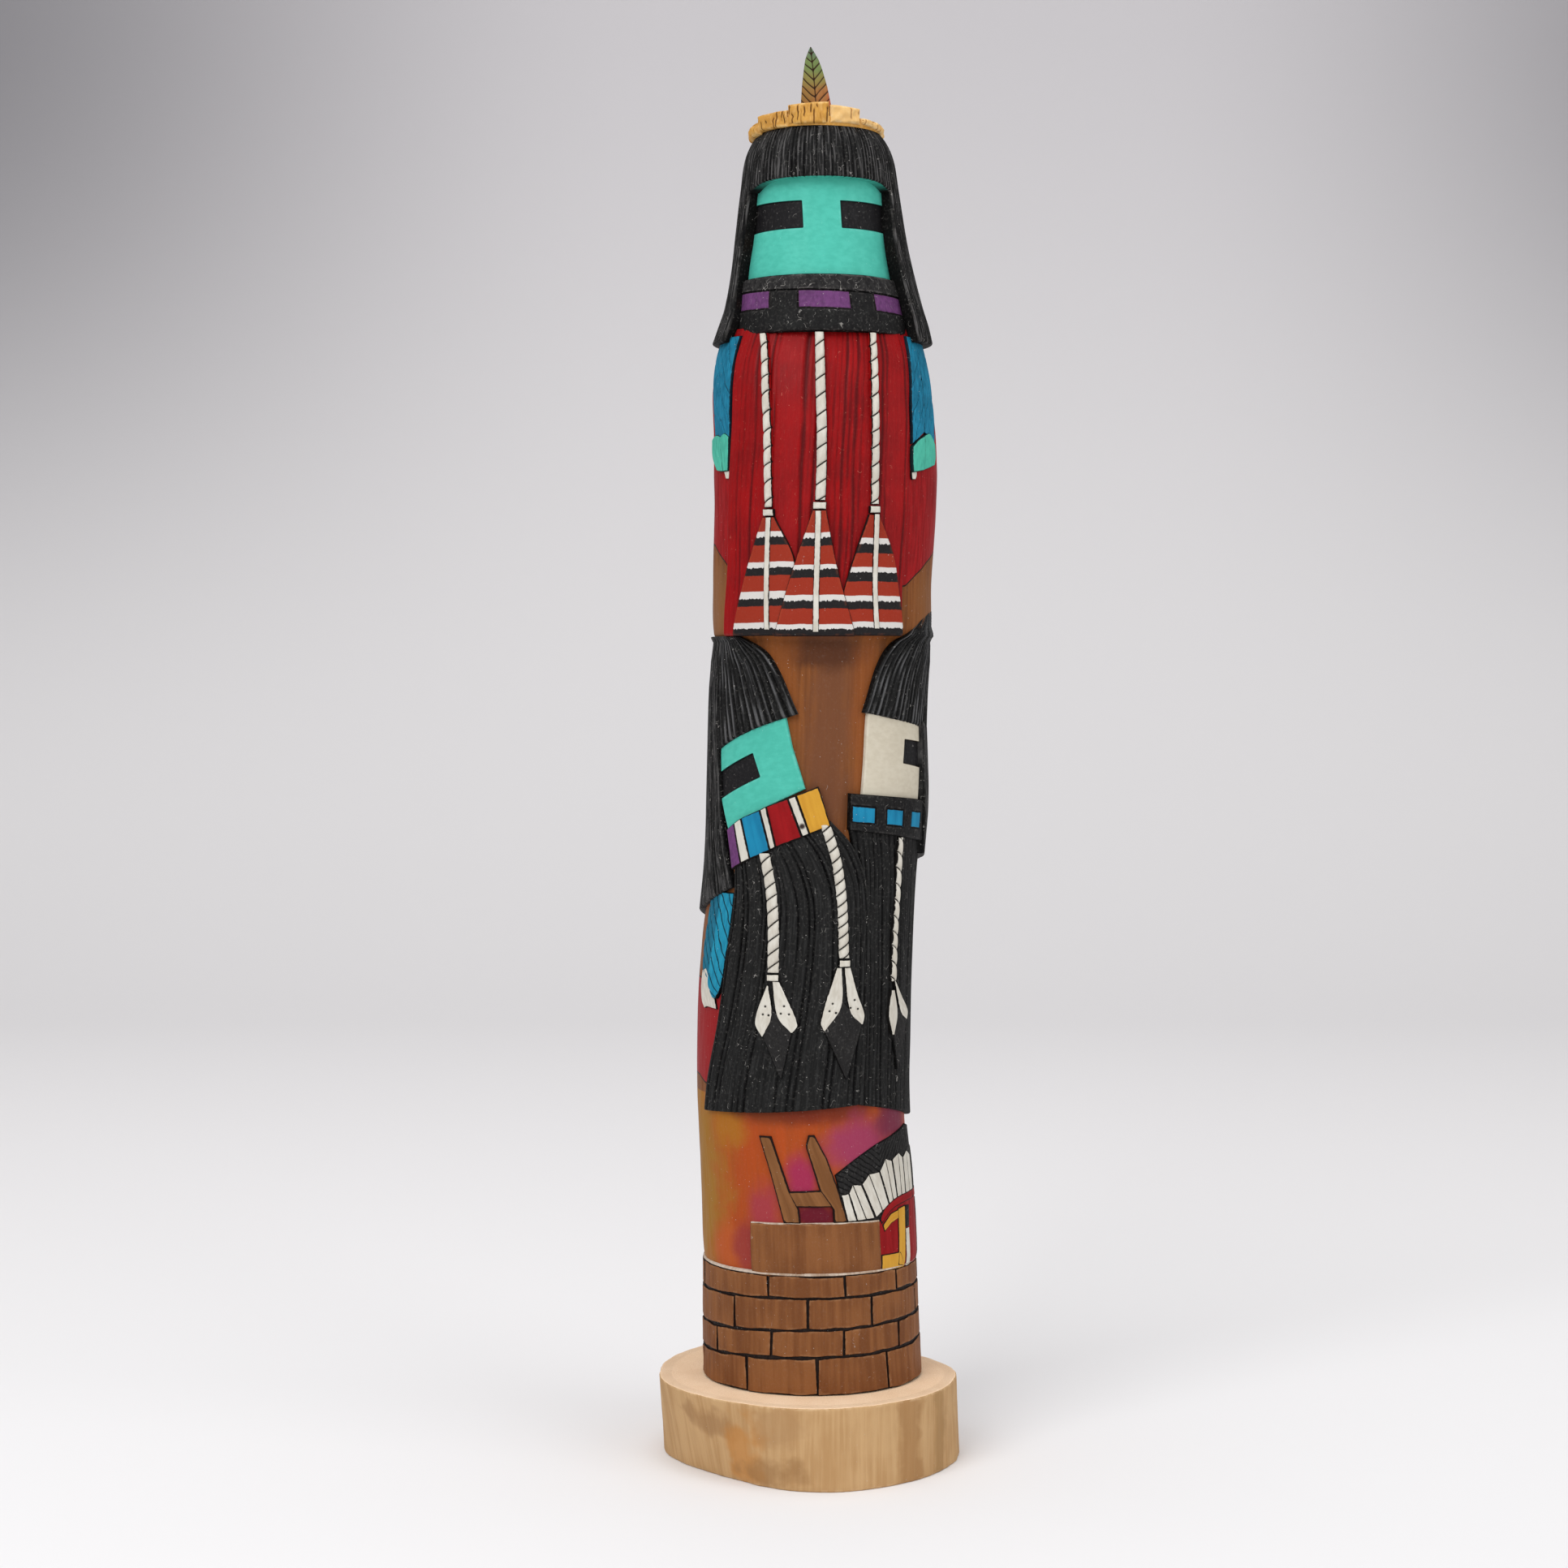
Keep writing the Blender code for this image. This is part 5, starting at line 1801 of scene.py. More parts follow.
@dataclass
class RightHead:
    """Cream profile head on the right, with its collar and black beard."""

    cap_lift: tuple[float, ...] = (0.3, 0.5, 2.9, 3.3, 3.1, 2.9, 2.8, 2.7)
    curtain_lift: tuple[float, ...] = (2.8, 3.2, 3.9, 4.1)
    face_lift: float = 1.6
    eye_drop: float = 0.5
    collar_lift: float = 3.1
    beard_lift: float = 1.9
    strand: float = 1.6
    collar_posts: tuple[float, ...] = (16.9, 17.9, 31.5, 38.5, 51.0, 58.5, 70.5, 78.0)
    collar_slope: float = 0.05
    collar_rows: tuple[tuple[float, float, float], ...] = (
        (0.0, 187.6, 1.0), (0.3, 183.9, 1.1), (0.7, 178.6, 1.1), (1.0, 176.2, 1.55),
    )

    def build(self) -> Objects:
        """Build the right head.

        Returns:
            The objects.
        """
        ridges = replace(CAP_RIDGES, pitch=self.strand)
        cap = Piece("right_cap").add(TRUNK, Sheet(
            [[(63, 241.6), (36.9, 231.8), (23.9, 212.7)],
             [(68, 243), (50, 230), (43, 210.6)],
             [(82, 245), (76, 226), (75.7, 207.5)],
             [(107, 246), (107, 224), (107, 204)]],
            CAP_HAIR, self.cap_lift, ridges, rim=0.8, step=(self.strand / 6, 1.0)))
        curtain = Piece("right_curtain").add(TRUNK, Sheet(
            [[(70, 210), (72, 190), (75, 177), (80, 167.5)], [(108, 206), (108, 164.5)]],
            HAIR, self.curtain_lift, Strands(depth=0.4, pitch=1.3, wander=0.4), rim=0.7,
            step=(0.26, 1.2)))
        face = Piece("right_face").add(TRUNK, Sheet(
            [[(26.6, 212.8), (25.9, 205), (25.3, 197.5), (24.4, 186.4)],
             [(53.8, 211.4), (53.4, 204.1), (52, 196.7), (51.2, 185)],
             [(72.4, 210), (72.2, 203.1), (72, 195.1), (71.4, 183)]],
            CREAM, (self.face_lift,), Relief(0.12), rim=0.5, step=COARSE, smooth=False,
            keyed=True, cells={(1, 1): (EYE, self.eye_drop)}, score=0.02))
        rows, lanes = self.collar_rows, []
        for bearing in self.collar_posts:
            lean = (bearing - self.collar_posts[0]) * self.collar_slope
            lanes.append([(bearing + shift, height - lean * share) for shift, height, share in rows])
        collar = Piece("right_collar").add(TRUNK, Sheet(
            lanes, BLACK, (self.collar_lift,), Relief(0.2), rim=0.6, step=COARSE, smooth=False,
            keyed=True, cells={(1, lane): (BLUE, 0.1) for lane in (1, 3, 5)}, score=0.25))
        beard = Piece("right_beard").add(TRUNK, Sheet(
            [[(18, 178), (25, 160), (30, 120), (30, 90.2)],
             [(60, 176), (58, 150), (57, 115), (56, 87.4)],
             [(92, 174), (95, 140), (94, 110), (90, 83)]],
            BEARD, (self.beard_lift,), BEARD_STRANDS, rim=0.8, step=(0.3, 1.4)))
        return [piece.build() for piece in (cap, curtain, face, collar, beard)]


@dataclass
class LowerCords:
    """Three laid cords with pairs of white feathers and their black tips."""

    cord_lift: float = 3.45
    petal_lift: float = 2.95
    tip_lift: float = 2.72
    cords: tuple[tuple[float, float, float, Points], ...] = (
        (3.7, 4.1, 0.75, ((-26, 169), (-21.8, 160.5), (-19.5, 154.2), (-17.1, 144.2), (-15.6, 131.8))),
        (3.4, 3.4, 0.75, ((5, 178), (10.8, 169.4), (14, 163), (17.5, 151.7), (20.2, 136.2))),
        (2.2, 4.9, -1.1, ((51.6, 173.5), (52.6, 158.5), (52.4, 143), (52.8, 128))),
    )
    knots: tuple[tuple[float, Points], ...] = (
        (3.7, ((-15.6, 131.4), (-15.4, 129.3))), (3.4, ((20.3, 135.8), (20.4, 133.6))),
    )
    petals: tuple[tuple[Points, Points], ...] = (
        (((-18.6, 128), (-24.1, 116.4), (-20.2, 111.8)), ((-17.6, 128), (-15.2, 118.4), (-19.6, 111.8))),
        (((-15.9, 129.3), (-12.4, 118.2), (-5.4, 113.3)),
         ((-12.2, 129.3), (-7.8, 124.1), (-2.1, 115.8), (-4.6, 113.3))),
        (((16.4, 133.5), (9.2, 116.8), (10.8, 113.8)), ((19.2, 133.5), (19.8, 121.4), (11.6, 113.8))),
        (((20.2, 133.5), (24.4, 119.6), (31, 115.4)),
         ((23.8, 133.5), (28.5, 125), (32.8, 118.5), (32, 115.4))),
        (((50.9, 125.4), (49.2, 117.4), (52.8, 111.1)), ((53.4, 125.4), (56.9, 117.6), (54.4, 111.1))),
        (((52.9, 128.2), (60, 118), (67, 115.2)),
         ((54, 128.2), (60.9, 122.9), (68.6, 118), (68, 115.2))),
    )
    tips: tuple[tuple[Points, Points], ...] = (
        (((-17.2, 121), (-20, 112), (-10.7, 98.9)), ((-15.2, 121), (-4.8, 113.3), (-9.5, 98.9))),
        (((18.6, 123), (11, 113.8), (22.6, 98.6)), ((20.6, 123), (31.9, 115.4), (23.8, 98.6))),
        (((54, 119), (53.4, 111.1), (58, 100)), ((58, 120), (67.9, 115.2), (59.4, 100))),
    )
    dots: tuple[tuple[float, float], ...] = (
        (-18.8, 121.4), (-19.9, 118.9), (-16.9, 118.7), (-9.2, 121.6), (-10.7, 119.3), (-6.6, 119.1),
        (15.1, 122.3), (13.6, 120), (17, 119.4), (26.8, 123.2), (24.7, 120.8), (28.8, 120.4),
    )

    def build(self) -> Objects:
        """Build the cords and the feathers.

        Returns:
            The objects.
        """
        cords = Piece("lower_cords")
        for width, pitch, slope, centre in self.cords:
            cords.add(TRUNK, Sheet(strip(centre, width), WHITE, (self.cord_lift,),
                                   Twist(pitch=pitch, slope=slope), rim=0.9, step=(0.3, 0.3)))
        for width, centre in self.knots:
            cords.add(TRUNK, Sheet(strip(centre, width), WHITE, (self.cord_lift,), Relief(0.1), rim=0.6,
                                   step=MEDIUM))
        feathers = Piece("white_feathers")
        for lanes in self.tips:
            feathers.add(TRUNK, Sheet(lanes, DIAMOND, (self.tip_lift,), Barbs(depth=0.05, dark=0.25),
                                      rim=0.3, step=(0.35, 0.5), smooth=False))
        for lanes in self.petals:
            feathers.add(TRUNK, Sheet(lanes, WHITE, (self.petal_lift,), Pitted(0.12, self.dots), rim=0.4,
                                      step=(0.16, 0.2)))
        return [piece.build() for piece in (cords, feathers)]


@dataclass
class EveningPanel:
    """Ladder and feathered sun disc in low relief above the wall."""

    mirror: float = 76.5
    fan: tuple[Points, ...] = (
        ((15.6, 68.6), (21, 54), (38, 46)), ((30.7, 73.9), (34, 62), (40.6, 52.5)),
        ((45.6, 77.4), (46, 66), (48, 57)), ((76.5, 81.2), (76.5, 70), (76.5, 58)),
    )
    disc_edge: Points = ((38.6, 52.2), (50.5, 58), (60, 59.4))
    disc_foot: float = 36.5
    white_tops: tuple[Points, ...] = (
        ((18.2, 62.3), (22.2, 62.6)), ((22.6, 62.8), (25, 65.3), (29.9, 65)),
        ((30.6, 65.2), (35.4, 68.1), (42.4, 68.4)), ((43.2, 68.6), (48.4, 72.2), (53.3, 71.2)),
        ((54.1, 71.4), (61, 73.2), (65.3, 71.4)), ((66, 71.4), (73, 72.9), (79, 71.2)),
    )
    white_feet: tuple[Points, ...] = (
        ((21, 54), (26, 54)), ((26.6, 54), (37.2, 54.2)), ((38.2, 54.4), (47.8, 57.8)),
        ((48.6, 58), (55.5, 59.4)), ((56.2, 59.4), (65, 59.9)), ((65.6, 59.9), (78.4, 60)),
    )
    ring_outer: Points = ((40.6, 53.6), (43.8, 56.5), (50.5, 58.8), (60, 60), (76.5, 60.3))
    ring_inner: Points = ((41.6, 51.9), (46.2, 54.3), (52.3, 56.3), (62.5, 57.2), (76.5, 57.4))

    def _both(self, piece: Piece, sheet: Sheet, twice: bool) -> None:
        """Lay a sheet, and lay it again as its mirror image.

        Args:
            piece: The piece that takes the sheets.
            sheet: The sheet to lay.
            twice: Lay the mirror image too.
        """
        piece.add(TRUNK, sheet)
        if twice:
            lanes = [mirrored(lane, self.mirror) for lane in reversed(sheet.lanes)]
            piece.add(TRUNK, replace(sheet, lanes=lanes))

    def build(self) -> Objects:
        """Build the ladder and the sun.

        Returns:
            The objects.
        """
        rail = Sheet([], LADDER, (0.8,), Relief(0.15), rim=0.35, step=(0.6, 1), smooth=False)
        ladder = Piece("ladder").add(
            TRUNK,
            replace(rail, lanes=[[(-23.6, 80.7), (-19.5, 71), (-12.9, 53.6)],
                                 [(-16.7, 80.7), (-9, 64), (-4.4, 58), (-4, 53.6)]]),
            replace(rail, lanes=[[(3.2, 81.2), (1.4, 77.7), (6.7, 64), (13.3, 58), (13.3, 53.6)],
                                 [(6.6, 81.2), (12.2, 73.8), (16.8, 64), (21.2, 53.6)]]),
            replace(rail, lanes=[[(-9, 63.6), (-6.5, 58.7)], [(8.5, 64), (14, 58.7)]], lift=(0.7,),
                    sides="tb", step=COARSE),
        )
        dark = Barbs(depth=0.3, pitch=1.9, slope=1.0, dark=1.0)
        fan = Sheet(self.fan, DIAMOND, (0.5,), dark, rim=0.3, sides="ltb", step=(0.3, 0.3))
        lanes = [mirrored(lane, self.mirror) for lane in reversed(self.fan)]
        sun = Piece("sun_feathers").add(TRUNK, fan, replace(fan, lanes=lanes, sides="rtb"))
        vane = Sheet([], WHITE, (0.74,), Relief(0.08), rim=0.25, step=(0.4, 0.7), smooth=False,
                     score_all=True)
        for top, foot in zip(self.white_tops, self.white_feet):
            (left, left_low), (right, right_low) = foot
            peaked = len(top) > 2
            centre = [[top[1], ((left + right) / 2, (left_low + right_low) / 2)]] if peaked else []
            lanes = [[top[0], foot[0]], *centre, [top[-1], foot[1]]]
            self._both(sun, replace(vane, lanes=lanes, score=0.22 if peaked else 0.0),
                       peaked and top[-1][0] < self.mirror)
        rounds = [*self.disc_edge, (self.mirror, 59.8), *reversed(mirrored(self.disc_edge, self.mirror))]
        disc = Piece("sun_disc").add(TRUNK, Sheet(
            [[edge, (edge[0], self.disc_foot)] for edge in rounds], SCARLET, (0.62,), rim=0.3,
            step=COARSE))
        flat = Relief(0.05)
        ring = [self.ring_inner, self.ring_outer]
        self._both(disc, Sheet(ring, SCARLET, (0.8,), flat, rim=0.25, step=(0.4, 0.7)), True)
        for paint, lift, lanes in (
                (YELLOW, 0.8, [[(43.4, 49.4), (48.4, 51.6), (55.4, 52.9)],
                               [(42, 51.7), (49, 54.9), (63.2, 56.4)]]),
                (YELLOW, 0.82, [[(55.2, 56), (53.6, 38)], [(63.2, 56.4), (60.6, 37)]]),
                (YELLOW, 0.8, [[(40.4, 42.4), (40.4, 36.8)], [(56, 42.2), (60.6, 36.8)]]),
                (BLACK, 0.76, [[(63.4, 56.3), (62.6, 49.2)], [(68.6, 56), (67.2, 49.2)]]),
                (WHITE, 0.74, [[(62.4, 49), (62, 36.8)], [(67.2, 49), (67.6, 36.8)]]),
        ):
            self._both(disc, Sheet(lanes, paint, (lift,), flat, rim=0.2, step=MEDIUM, smooth=False), True)
        return [piece.build() for piece in (ladder, sun, disc)]


@dataclass
class BrickWall:
    """Wall around the foot, of bricks between burnt joints, with its block.

    Each level is a height with what it gains at the far left and right.
    """

    levels: tuple[tuple[float, float, float], ...] = (
        (37.4, 0.0, 0.0), (30.2, -1.2, 0.1), (20.3, -2.2, 0.9), (11.7, -1.9, 0.9), (-0.2, 0.0, 0.0),
    )
    joints: tuple[tuple[float, ...], ...] = (
        (-78, -22.7, 18.2, 52, 84, 116, 148, 180, 214, 248),
        (-90, -44.1, -1.8, 33.4, 74, 110, 146, 182, 218),
        (-59.2, -21.4, 16.7, 52.3, 86, 118, 150, 182, 214, 246, 274),
        (-80, -36.1, 2.3, 42.4, 84, 118, 152, 186, 220, 250),
    )
    gap: float = 0.62
    side_gap: float = 0.5
    jitter: float = 0.26
    joint_depth: float = 0.85
    brick_lanes: int = 6
    block_top: float = 53.4
    ledge: tuple[tuple[float, float], ...] = (
        (37.1, -2.2), (37.2, -0.5), (37.4, -0.15), (37.6, -0.2), (37.85, -0.4), (38.05, -0.8),
        (38.15, -1.4), (38.2, -2.6),
    )
    seed: int = 11

    def _level(self, index: int, bearing: float) -> float:
        """Height of a course line at a bearing."""
        height, left, right = self.levels[index]
        lean = math.sin(math.radians(bearing))
        return height + lean * lean * (right if lean > 0 else left)

    def _brick(self, course: int, start: float, end: float, chance: random.Random) -> Sheet:
        """One brick with slightly uneven edges.

        Args:
            course: Index of its course from the top.
            start, end: Bearings of its joints.
            chance: Source of the unevenness.

        Returns:
            The brick's sheet.
        """
        side = self.side_gap / 2 / WALL.ratio()
        lanes = []
        for bearing in np.linspace(start + side, end - side, self.brick_lanes):
            top = self._level(course, bearing) - self.gap / 2
            foot = self._level(course + 1, bearing) + self.gap / 2
            ends = len(lanes) in (0, self.brick_lanes - 1)
            lean = chance.uniform(-1, 1) * self.jitter / WALL.ratio() if ends else 0.0
            lanes.append([
                (bearing + lean, top + chance.uniform(-1, 1) * self.jitter),
                (bearing - lean, foot + chance.uniform(-1, 1) * self.jitter),
            ])
        return Sheet(lanes, BRICK, (-0.05,), Relief(0.35), rim=0.45, sink=2.0, step=(1.2, 1.2),
                     wall_finish=MORTAR)

    def build(self) -> Objects:
        """Build the wall and its raised block.

        Returns:
            The objects.
        """
        chance = random.Random(self.seed)
        wall = Piece("brick_wall")
        core = [(0.0, -self.joint_depth), (37.0, -self.joint_depth), (37.2, -1.6)]
        wall.shells.append(lathe(WALL, core, 96, MORTAR))
        for course, joints in enumerate(self.joints):
            for start, end in zip(joints, joints[1:] + (joints[0] + 360.0,)):
                wall.add(WALL, self._brick(course, start, end, chance))
        ledge = Piece("wall_ledge")
        ledge.shells.append(lathe(WALL, self.ledge, 240, LEDGE, 0.25, 5))
        top = self.block_top
        block = Piece("wall_block").add(
            TRUNK,
            Sheet([[(-31.7, top), (-32.3, 36)], [(-14, top + 0.2), (-14, 36)], [(4, top + 0.4), (4, 36)],
                   [(22, top + 0.3), (22, 36)], [(40.4, top), (40.8, 36)]],
                  BRICK, (1.0,), Relief(0.4), rim=0.6, sides="lrt", step=(0.9, 0.9)),
            Sheet([[(-31.3, top + 0.05), (-31.3, top - 0.5)], [(4, top + 0.45), (4, top - 0.1)],
                   [(40.0, top + 0.05), (40.0, top - 0.5)]],
                  LEDGE, (0.9,), Relief(0.2), rim=0.28, step=(0.6, 0.25), wall_rim=4.0),
        )
        return [piece.build() for piece in (wall, ledge, block)]


@dataclass
class Crown:
    """Yellow ring of blocks round the crown of the head, with its plate."""

    depth: float = 8.2
    plate_top: float = 398.6
    pale: tuple[int, ...] = (2, 3)
    blocks: tuple[tuple[float, float, float, float, float, float], ...] = (
        (-62, -27.3, 400.4, 400.9, 395.5, 395.7), (-26.7, 10.4, 402.4, 403.2, 396.1, 396.3),
        (11.2, 40.0, 402.1, 401.6, 396.6, 396.6), (40.4, 95, 398.8, 398.2, 397.0, 395.2),
        (94, 134.5, 400.0, 400.4, 395.2, 395.4), (133.8, 181, 401.5, 401.8, 395.6, 395.6),
        (180.2, 227, 401.0, 400.8, 395.4, 395.4), (226.2, 265, 399.6, 399.4, 395.0, 394.8),
        (264.3, 297.6, 397.8, 398.4, 393.9, 394.8),
    )

    def build(self) -> Objects:
        """Build the crown.

        Returns:
            The crown's object.
        """
        crown = Piece("crown_ring")
        crown.shells.append(lathe(RING, ((395.8, -1.6), (398.2, -1.2), (self.plate_top, -1.2)), 96, OCHRE))
        for index, (start, end, top_start, top_end, low_start, low_end) in enumerate(self.blocks):
            paint, common = (PALE_OCHRE, 0.5) if index in self.pale else (OCHRE, 0.85)
            middle = (start + end) / 2
            top, low = (top_start + top_end) / 2 + 0.1, (low_start + low_end) / 2
            lanes = [[(start, top_start), (start, low_start)], [(middle, top), (middle, low)],
                     [(end, top_end), (end, low_end)]]
            crown.add(RING, Sheet(lanes, paint, (0.15,), Strokes(common=common), rim=1.1, sink=self.depth,
                                  step=(0.26, 0.3), shell=True, wall_rim=6.0))
        return [crown.build()]


@dataclass
class CrownFeather:
    """Small whittled feather behind the front block of the crown."""

    middle: float = 1.9
    width: float = 9.8
    thickness: float = 2.2
    barb_pitch: float = 2.7

    def build(self) -> Objects:
        """Build the feather inside the solid's own box.

        Returns:
            The feather's object.
        """
        low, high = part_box("crown_feather")
        foot, tip = (low[2] - FOOT) / UNIT, (high[2] - FOOT) / UNIT
        tall = tip - foot
        plane = Flat(middle=(low[1] + high[1]) / 2 / UNIT)
        shares = ((0.0, 0.0, 0.97), (0.16, 0.0, 1.0), (0.34, -0.005, 0.98), (0.55, -0.05, 0.82),
                  (0.74, -0.10, 0.60), (0.86, -0.14, 0.42), (0.94, -0.165, 0.20), (1.0, -0.18, 0.02))
        lanes = []
        for side in (-1, 0, 1):
            lanes.append([
                (self.middle + self.width * (shift + side * share / 2), foot + tall * rise)
                for rise, shift, share in reversed(shares)
            ])
        web = Barbs(depth=0.25, pitch=self.barb_pitch, slope=0.85, dark=1.0, width=0.34)
        half = self.thickness / 2
        feather = Piece("whittled_feather", "painted_feather", "crown_feather").add(
            plane,
            Sheet(lanes, FEATHER_PAINT, (half * 0.7, half * 0.85, half), web, rim=0.45, sink=half * 0.8,
                  step=(0.2, 0.25), shell=True, score=0.2, score_all=True, smooth=False),
        )
        return [feather.build()]


@dataclass
class BaseSlab:
    """Slice of a branch with a sawn top, standing on its underside."""

    size: float = 0.100
    girth_radius: float = 48.0
    segments: int = 288
    side_rows: int = 13
    broad_flutes: float = 0.45
    fine_flutes: float = 0.22
    bevel: Points = ((0, -0.6), (0.12, -0.25), (0.35, -0.06), (0.6, 0))
    top_rings: tuple[float, ...] = (0.93, 0.82, 0.68, 0.52, 0.34, 0.16)
    rim_shares: tuple[float, ...] = (
        0.474, 0.445, 0.420, 0.425, 0.46, 0.505, 0.52, 0.508, 0.496, 0.488, 0.490, 0.481, 0.482, 0.498,
        0.504, 0.496, 0.489, 0.480,
    )
    lean_shares: tuple[float, ...] = (
        -0.012, -0.010, 0.0, 0.0, 0.0, 0.005, 0.01, 0.01, 0.012, 0.016, 0.050, 0.062, 0.050, 0.016, -0.004,
        0.0, 0.0, -0.008,
    )

    def build(self) -> Objects:
        """Build the slab.

        Returns:
            The slab's object.
        """
        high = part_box("base_slab")[1][2] / MM
        turn = np.arange(self.segments) / self.segments
        rim, lean = self._around(self.rim_shares, turn), self._around(self.lean_shares, turn)
        angle = turn * 2 * math.pi
        facing = (np.degrees(angle) + 180.0) % 360.0 - 90.0
        rows = list(self.bevel) + [(z, 0.0) for z in np.linspace(2.0, high - 2.0, self.side_rows)]
        rows += [(high - z, inset) for z, inset in reversed(self.bevel)]
        z, inset = np.array(rows).T[..., None]
        flutes = noise(angle * 9.0, z / 30.0, 4) * self.broad_flutes
        flutes += noise(angle * 46.0, z / 14.0, 6) * self.fine_flutes
        flutes[:, -1] = flutes[:, 0]
        radius = rim - lean * (1 - z / high) + inset - flutes
        side_x, side_y = np.cos(angle) * radius, np.sin(angle) * radius
        share = np.array(self.top_rings)[:, None]
        top_x, top_y = side_x[-1] * share, side_y[-1] * share
        side, top = np.zeros_like(side_x), np.zeros_like(top_x)
        points = (side_x, side_y, side + z), (top_x, top_y, top + high)
        lay = (side + angle * self.girth_radius, side + z, side), (top_x, top_y, top + 40.0)
        spot = (side + facing, side + z, side), (top + facing, top + high, top)
        flat, place, where = (
            np.concatenate([np.stack(part, axis=-1).reshape(-1, 3) for part in pair])
            for pair in (points, lay, spot)
        )
        # Tone falls where the flutes cut in, so the finish paints shade into those hollows.
        tone = np.concatenate([1 - np.clip(flutes, 0, 1) * 0.4, top + 1.0]).reshape(-1)
        edge = np.concatenate([side + np.minimum(z, high - z), top + (1 - share) * self.girth_radius])
        total = len(rows) + len(self.top_rings)
        sides = len(rows) - 2
        slots = [0] * sides * self.segments + [1] * (total - 1 - sides) * self.segments + [0, 1]
        shell = Shell(flat * MM, ringed(total, self.segments), slots, [SLAB_SIDE, LIT_SLAB_TOP], place, where,
                      tone, edge.reshape(-1))
        return [Piece("wood_slab", "natural_wood", "base_slab", [shell]).build()]

    def _around(self, shares: Sequence[float], turn: np.ndarray) -> np.ndarray:
        """Millimetres around the slab from a closed row of shares of its size."""
        knots = np.arange(-2, len(shares) + 3)
        closed = np.array([shares[k % len(shares)] for k in knots])
        return hermite(knots, closed, turn * len(shares)) * self.size / MM


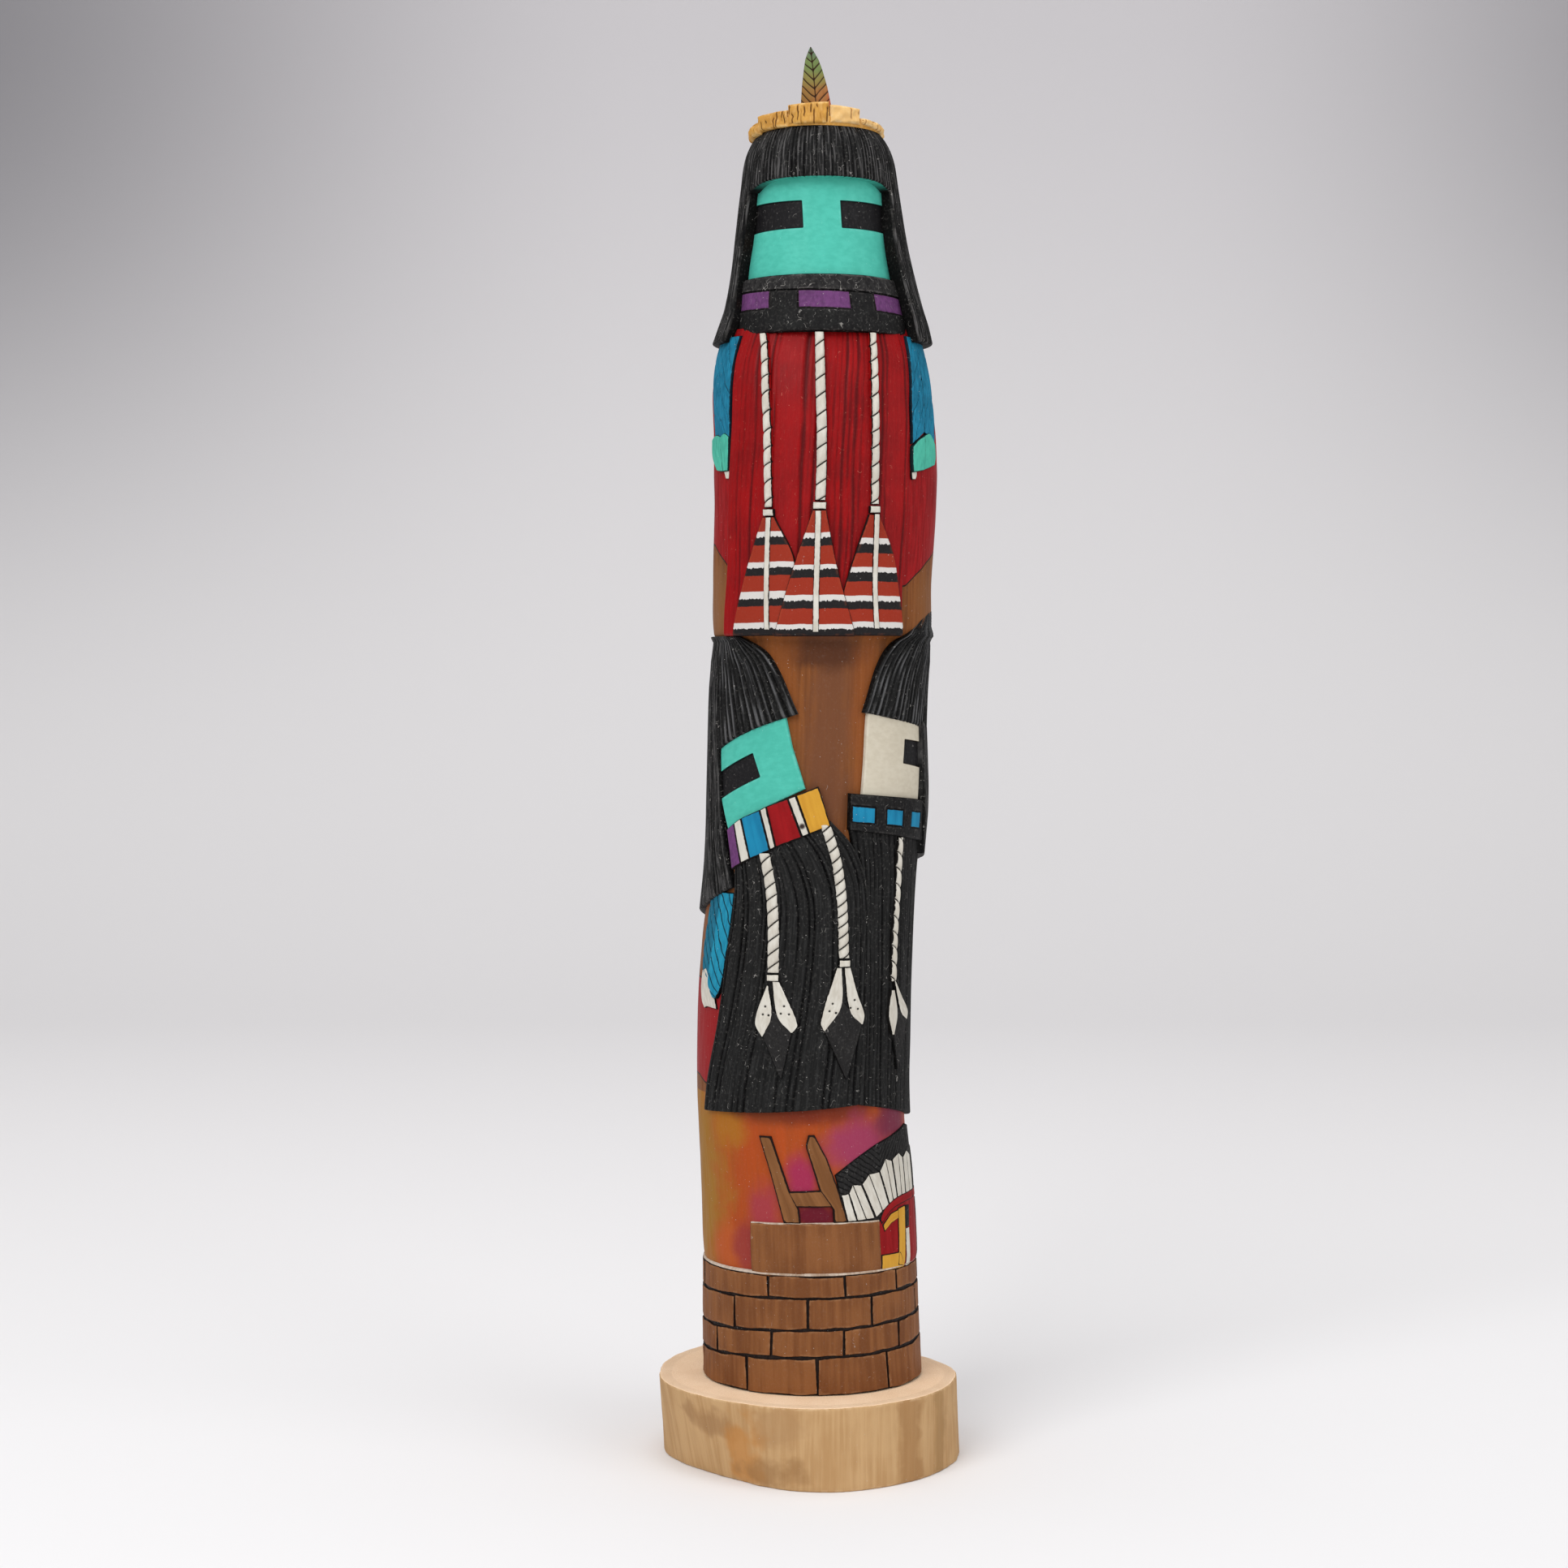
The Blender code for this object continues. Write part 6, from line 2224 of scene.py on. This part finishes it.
@dataclass
class Studio:
    """Pale floor and backdrop, soft lights and the photograph's camera."""

    photo_width: float = 1932.0
    focal_pixels: float = 3600.0
    camera_place: tuple[float, float, float] = (-0.00822, -0.9375, 0.2479)
    camera_dip: float = 1.965
    floor_half: float = 4.0
    wall_place: float = 2.4
    wall_height: float = 4.5
    sweep: float = 1.2
    sweep_steps: int = 16
    air_strength: float = 0.46
    lights: tuple[tuple[str, tuple[float, ...], tuple[float, ...], float, float], ...] = (
        ("key_light", (-0.9, -1.5, 1.5), (0.0, 0.0, 0.22), 1.2, 23.0),
        ("fill_light", (1.6, -1.2, 0.9), (0.0, 0.0, 0.22), 1.5, 12.0),
        ("top_light", (0.0, -0.1, 1.9), (0.0, 0.0, 0.2), 1.6, 13.0),
        ("backdrop_light", (0.0, 0.9, 2.3), (0.0, 2.2, 0.5), 1.5, 4.5),
    )

    def build(self) -> None:
        """Build the floor, the lights and the camera."""
        self._backdrop()
        self._camera()
        for light in self.lights:
            self._light(*light)
        world = bpy.data.worlds.new("studio_air")
        world.use_nodes = True
        air = world.node_tree.nodes["Background"]
        air.inputs["Color"].default_value = (1.0, 1.0, 1.0, 1.0)
        air.inputs["Strength"].default_value = self.air_strength
        bpy.context.scene.world = world
        bpy.context.scene.view_settings.view_transform = "Standard"

    def _backdrop(self) -> None:
        """Make the floor that curves up into the backdrop, with painted shade towards the top and in the
        upper corners.
        """
        profile = [(-self.floor_half, 0.0)]
        start = self.wall_place - self.sweep
        for k in range(self.sweep_steps + 1):
            turn = math.radians(90.0 * k / self.sweep_steps)
            profile.append((start + self.sweep * math.sin(turn), self.sweep * (1 - math.cos(turn))))
        profile.append((self.wall_place, self.wall_height))
        points = [(x, y, z) for y, z in profile for x in (-self.floor_half, self.floor_half)]
        faces = [(2 * k, 2 * k + 1, 2 * k + 3, 2 * k + 2) for k in range(len(profile) - 1)]
        mesh = bpy.data.meshes.new("studio_sweep")
        mesh.from_pydata(points, [], faces)
        mesh.shade_smooth()
        sweep = bpy.data.objects.new("studio_sweep", mesh)
        bpy.context.scene.collection.objects.link(sweep)
        paper = bpy.data.materials.new("studio_paper")
        paper.use_nodes = True
        shader = paper.node_tree.nodes["Principled BSDF"]
        w = Wiring(paper.node_tree)
        place = w.node("ShaderNodeTexCoord").outputs["Object"]
        depth, height = w.part(place, "Y"), w.part(place, "Z")
        aside = w.math("ABSOLUTE", w.math("SUBTRACT", w.part(place, "X"), 0.12))
        tint = w.mix(w.span(depth, -0.2, 0.8), (237, 236, 237), (238, 236, 237))
        # Painted shade: the backdrop darkens towards its top.
        tint = w.mix(w.span(height, 0.1, 1.1), tint, (216, 213, 216))
        # Painted shade: darker still in the upper corners, away from the middle.
        corner = w.times(w.span(aside, 0.25, 1.15), w.span(height, 0.1, 1.0))
        tint = w.mix(corner, tint, (150, 148, 152))
        w.feed(shader.inputs["Base Color"], tint)
        shader.inputs["Roughness"].default_value = 0.9
        shader.inputs["Specular IOR Level"].default_value = 0.1
        mesh.materials.append(paper)

    def _camera(self) -> None:
        """Place the camera at the photograph's viewing angle."""
        data = bpy.data.cameras.new("photo_camera")
        data.sensor_width = 36.0
        data.lens = self.focal_pixels * data.sensor_width / self.photo_width
        camera = bpy.data.objects.new("photo_camera", data)
        camera.location = self.camera_place
        camera.rotation_euler = (math.radians(90.0 - self.camera_dip), 0.0, 0.0)
        bpy.context.scene.collection.objects.link(camera)
        bpy.context.scene.camera = camera

    @staticmethod
    def _light(name: str, place: tuple[float, ...], aim: tuple[float, ...], size: float,
               power: float) -> None:
        """Add one soft light.

        Args:
            name: Its name.
            place, aim: Where it stands and what it points at.
            size: Side of its square.
            power: Its power in watts.
        """
        data = bpy.data.lights.new(name, "AREA")
        data.size = size
        data.energy = power
        light = bpy.data.objects.new(name, data)
        light.location = place
        away = np.array(place) - np.array(aim)
        flat = math.hypot(away[0], away[1])
        light.rotation_euler = (math.atan2(flat, away[2]), 0.0, math.atan2(away[0], -away[1]))
        bpy.context.scene.collection.objects.link(light)


def main() -> None:
    """Build the studio and every sub-assembly of the doll."""
    logging.basicConfig(level=logging.INFO, format="%(message)s")
    Studio().build()
    parts = (
        Trunk(), UpperHead(), RedBeard(), SideFeathers(), LeftHead(), RightHead(), LowerCords(),
        EveningPanel(), BrickWall(), Crown(), CrownFeather(), BaseSlab(),
    )
    for part in parts:
        made = part.build()
        LOG.info("%s: %d pieces", type(part).__name__, len(made))


if __name__ == "__main__":
    main()
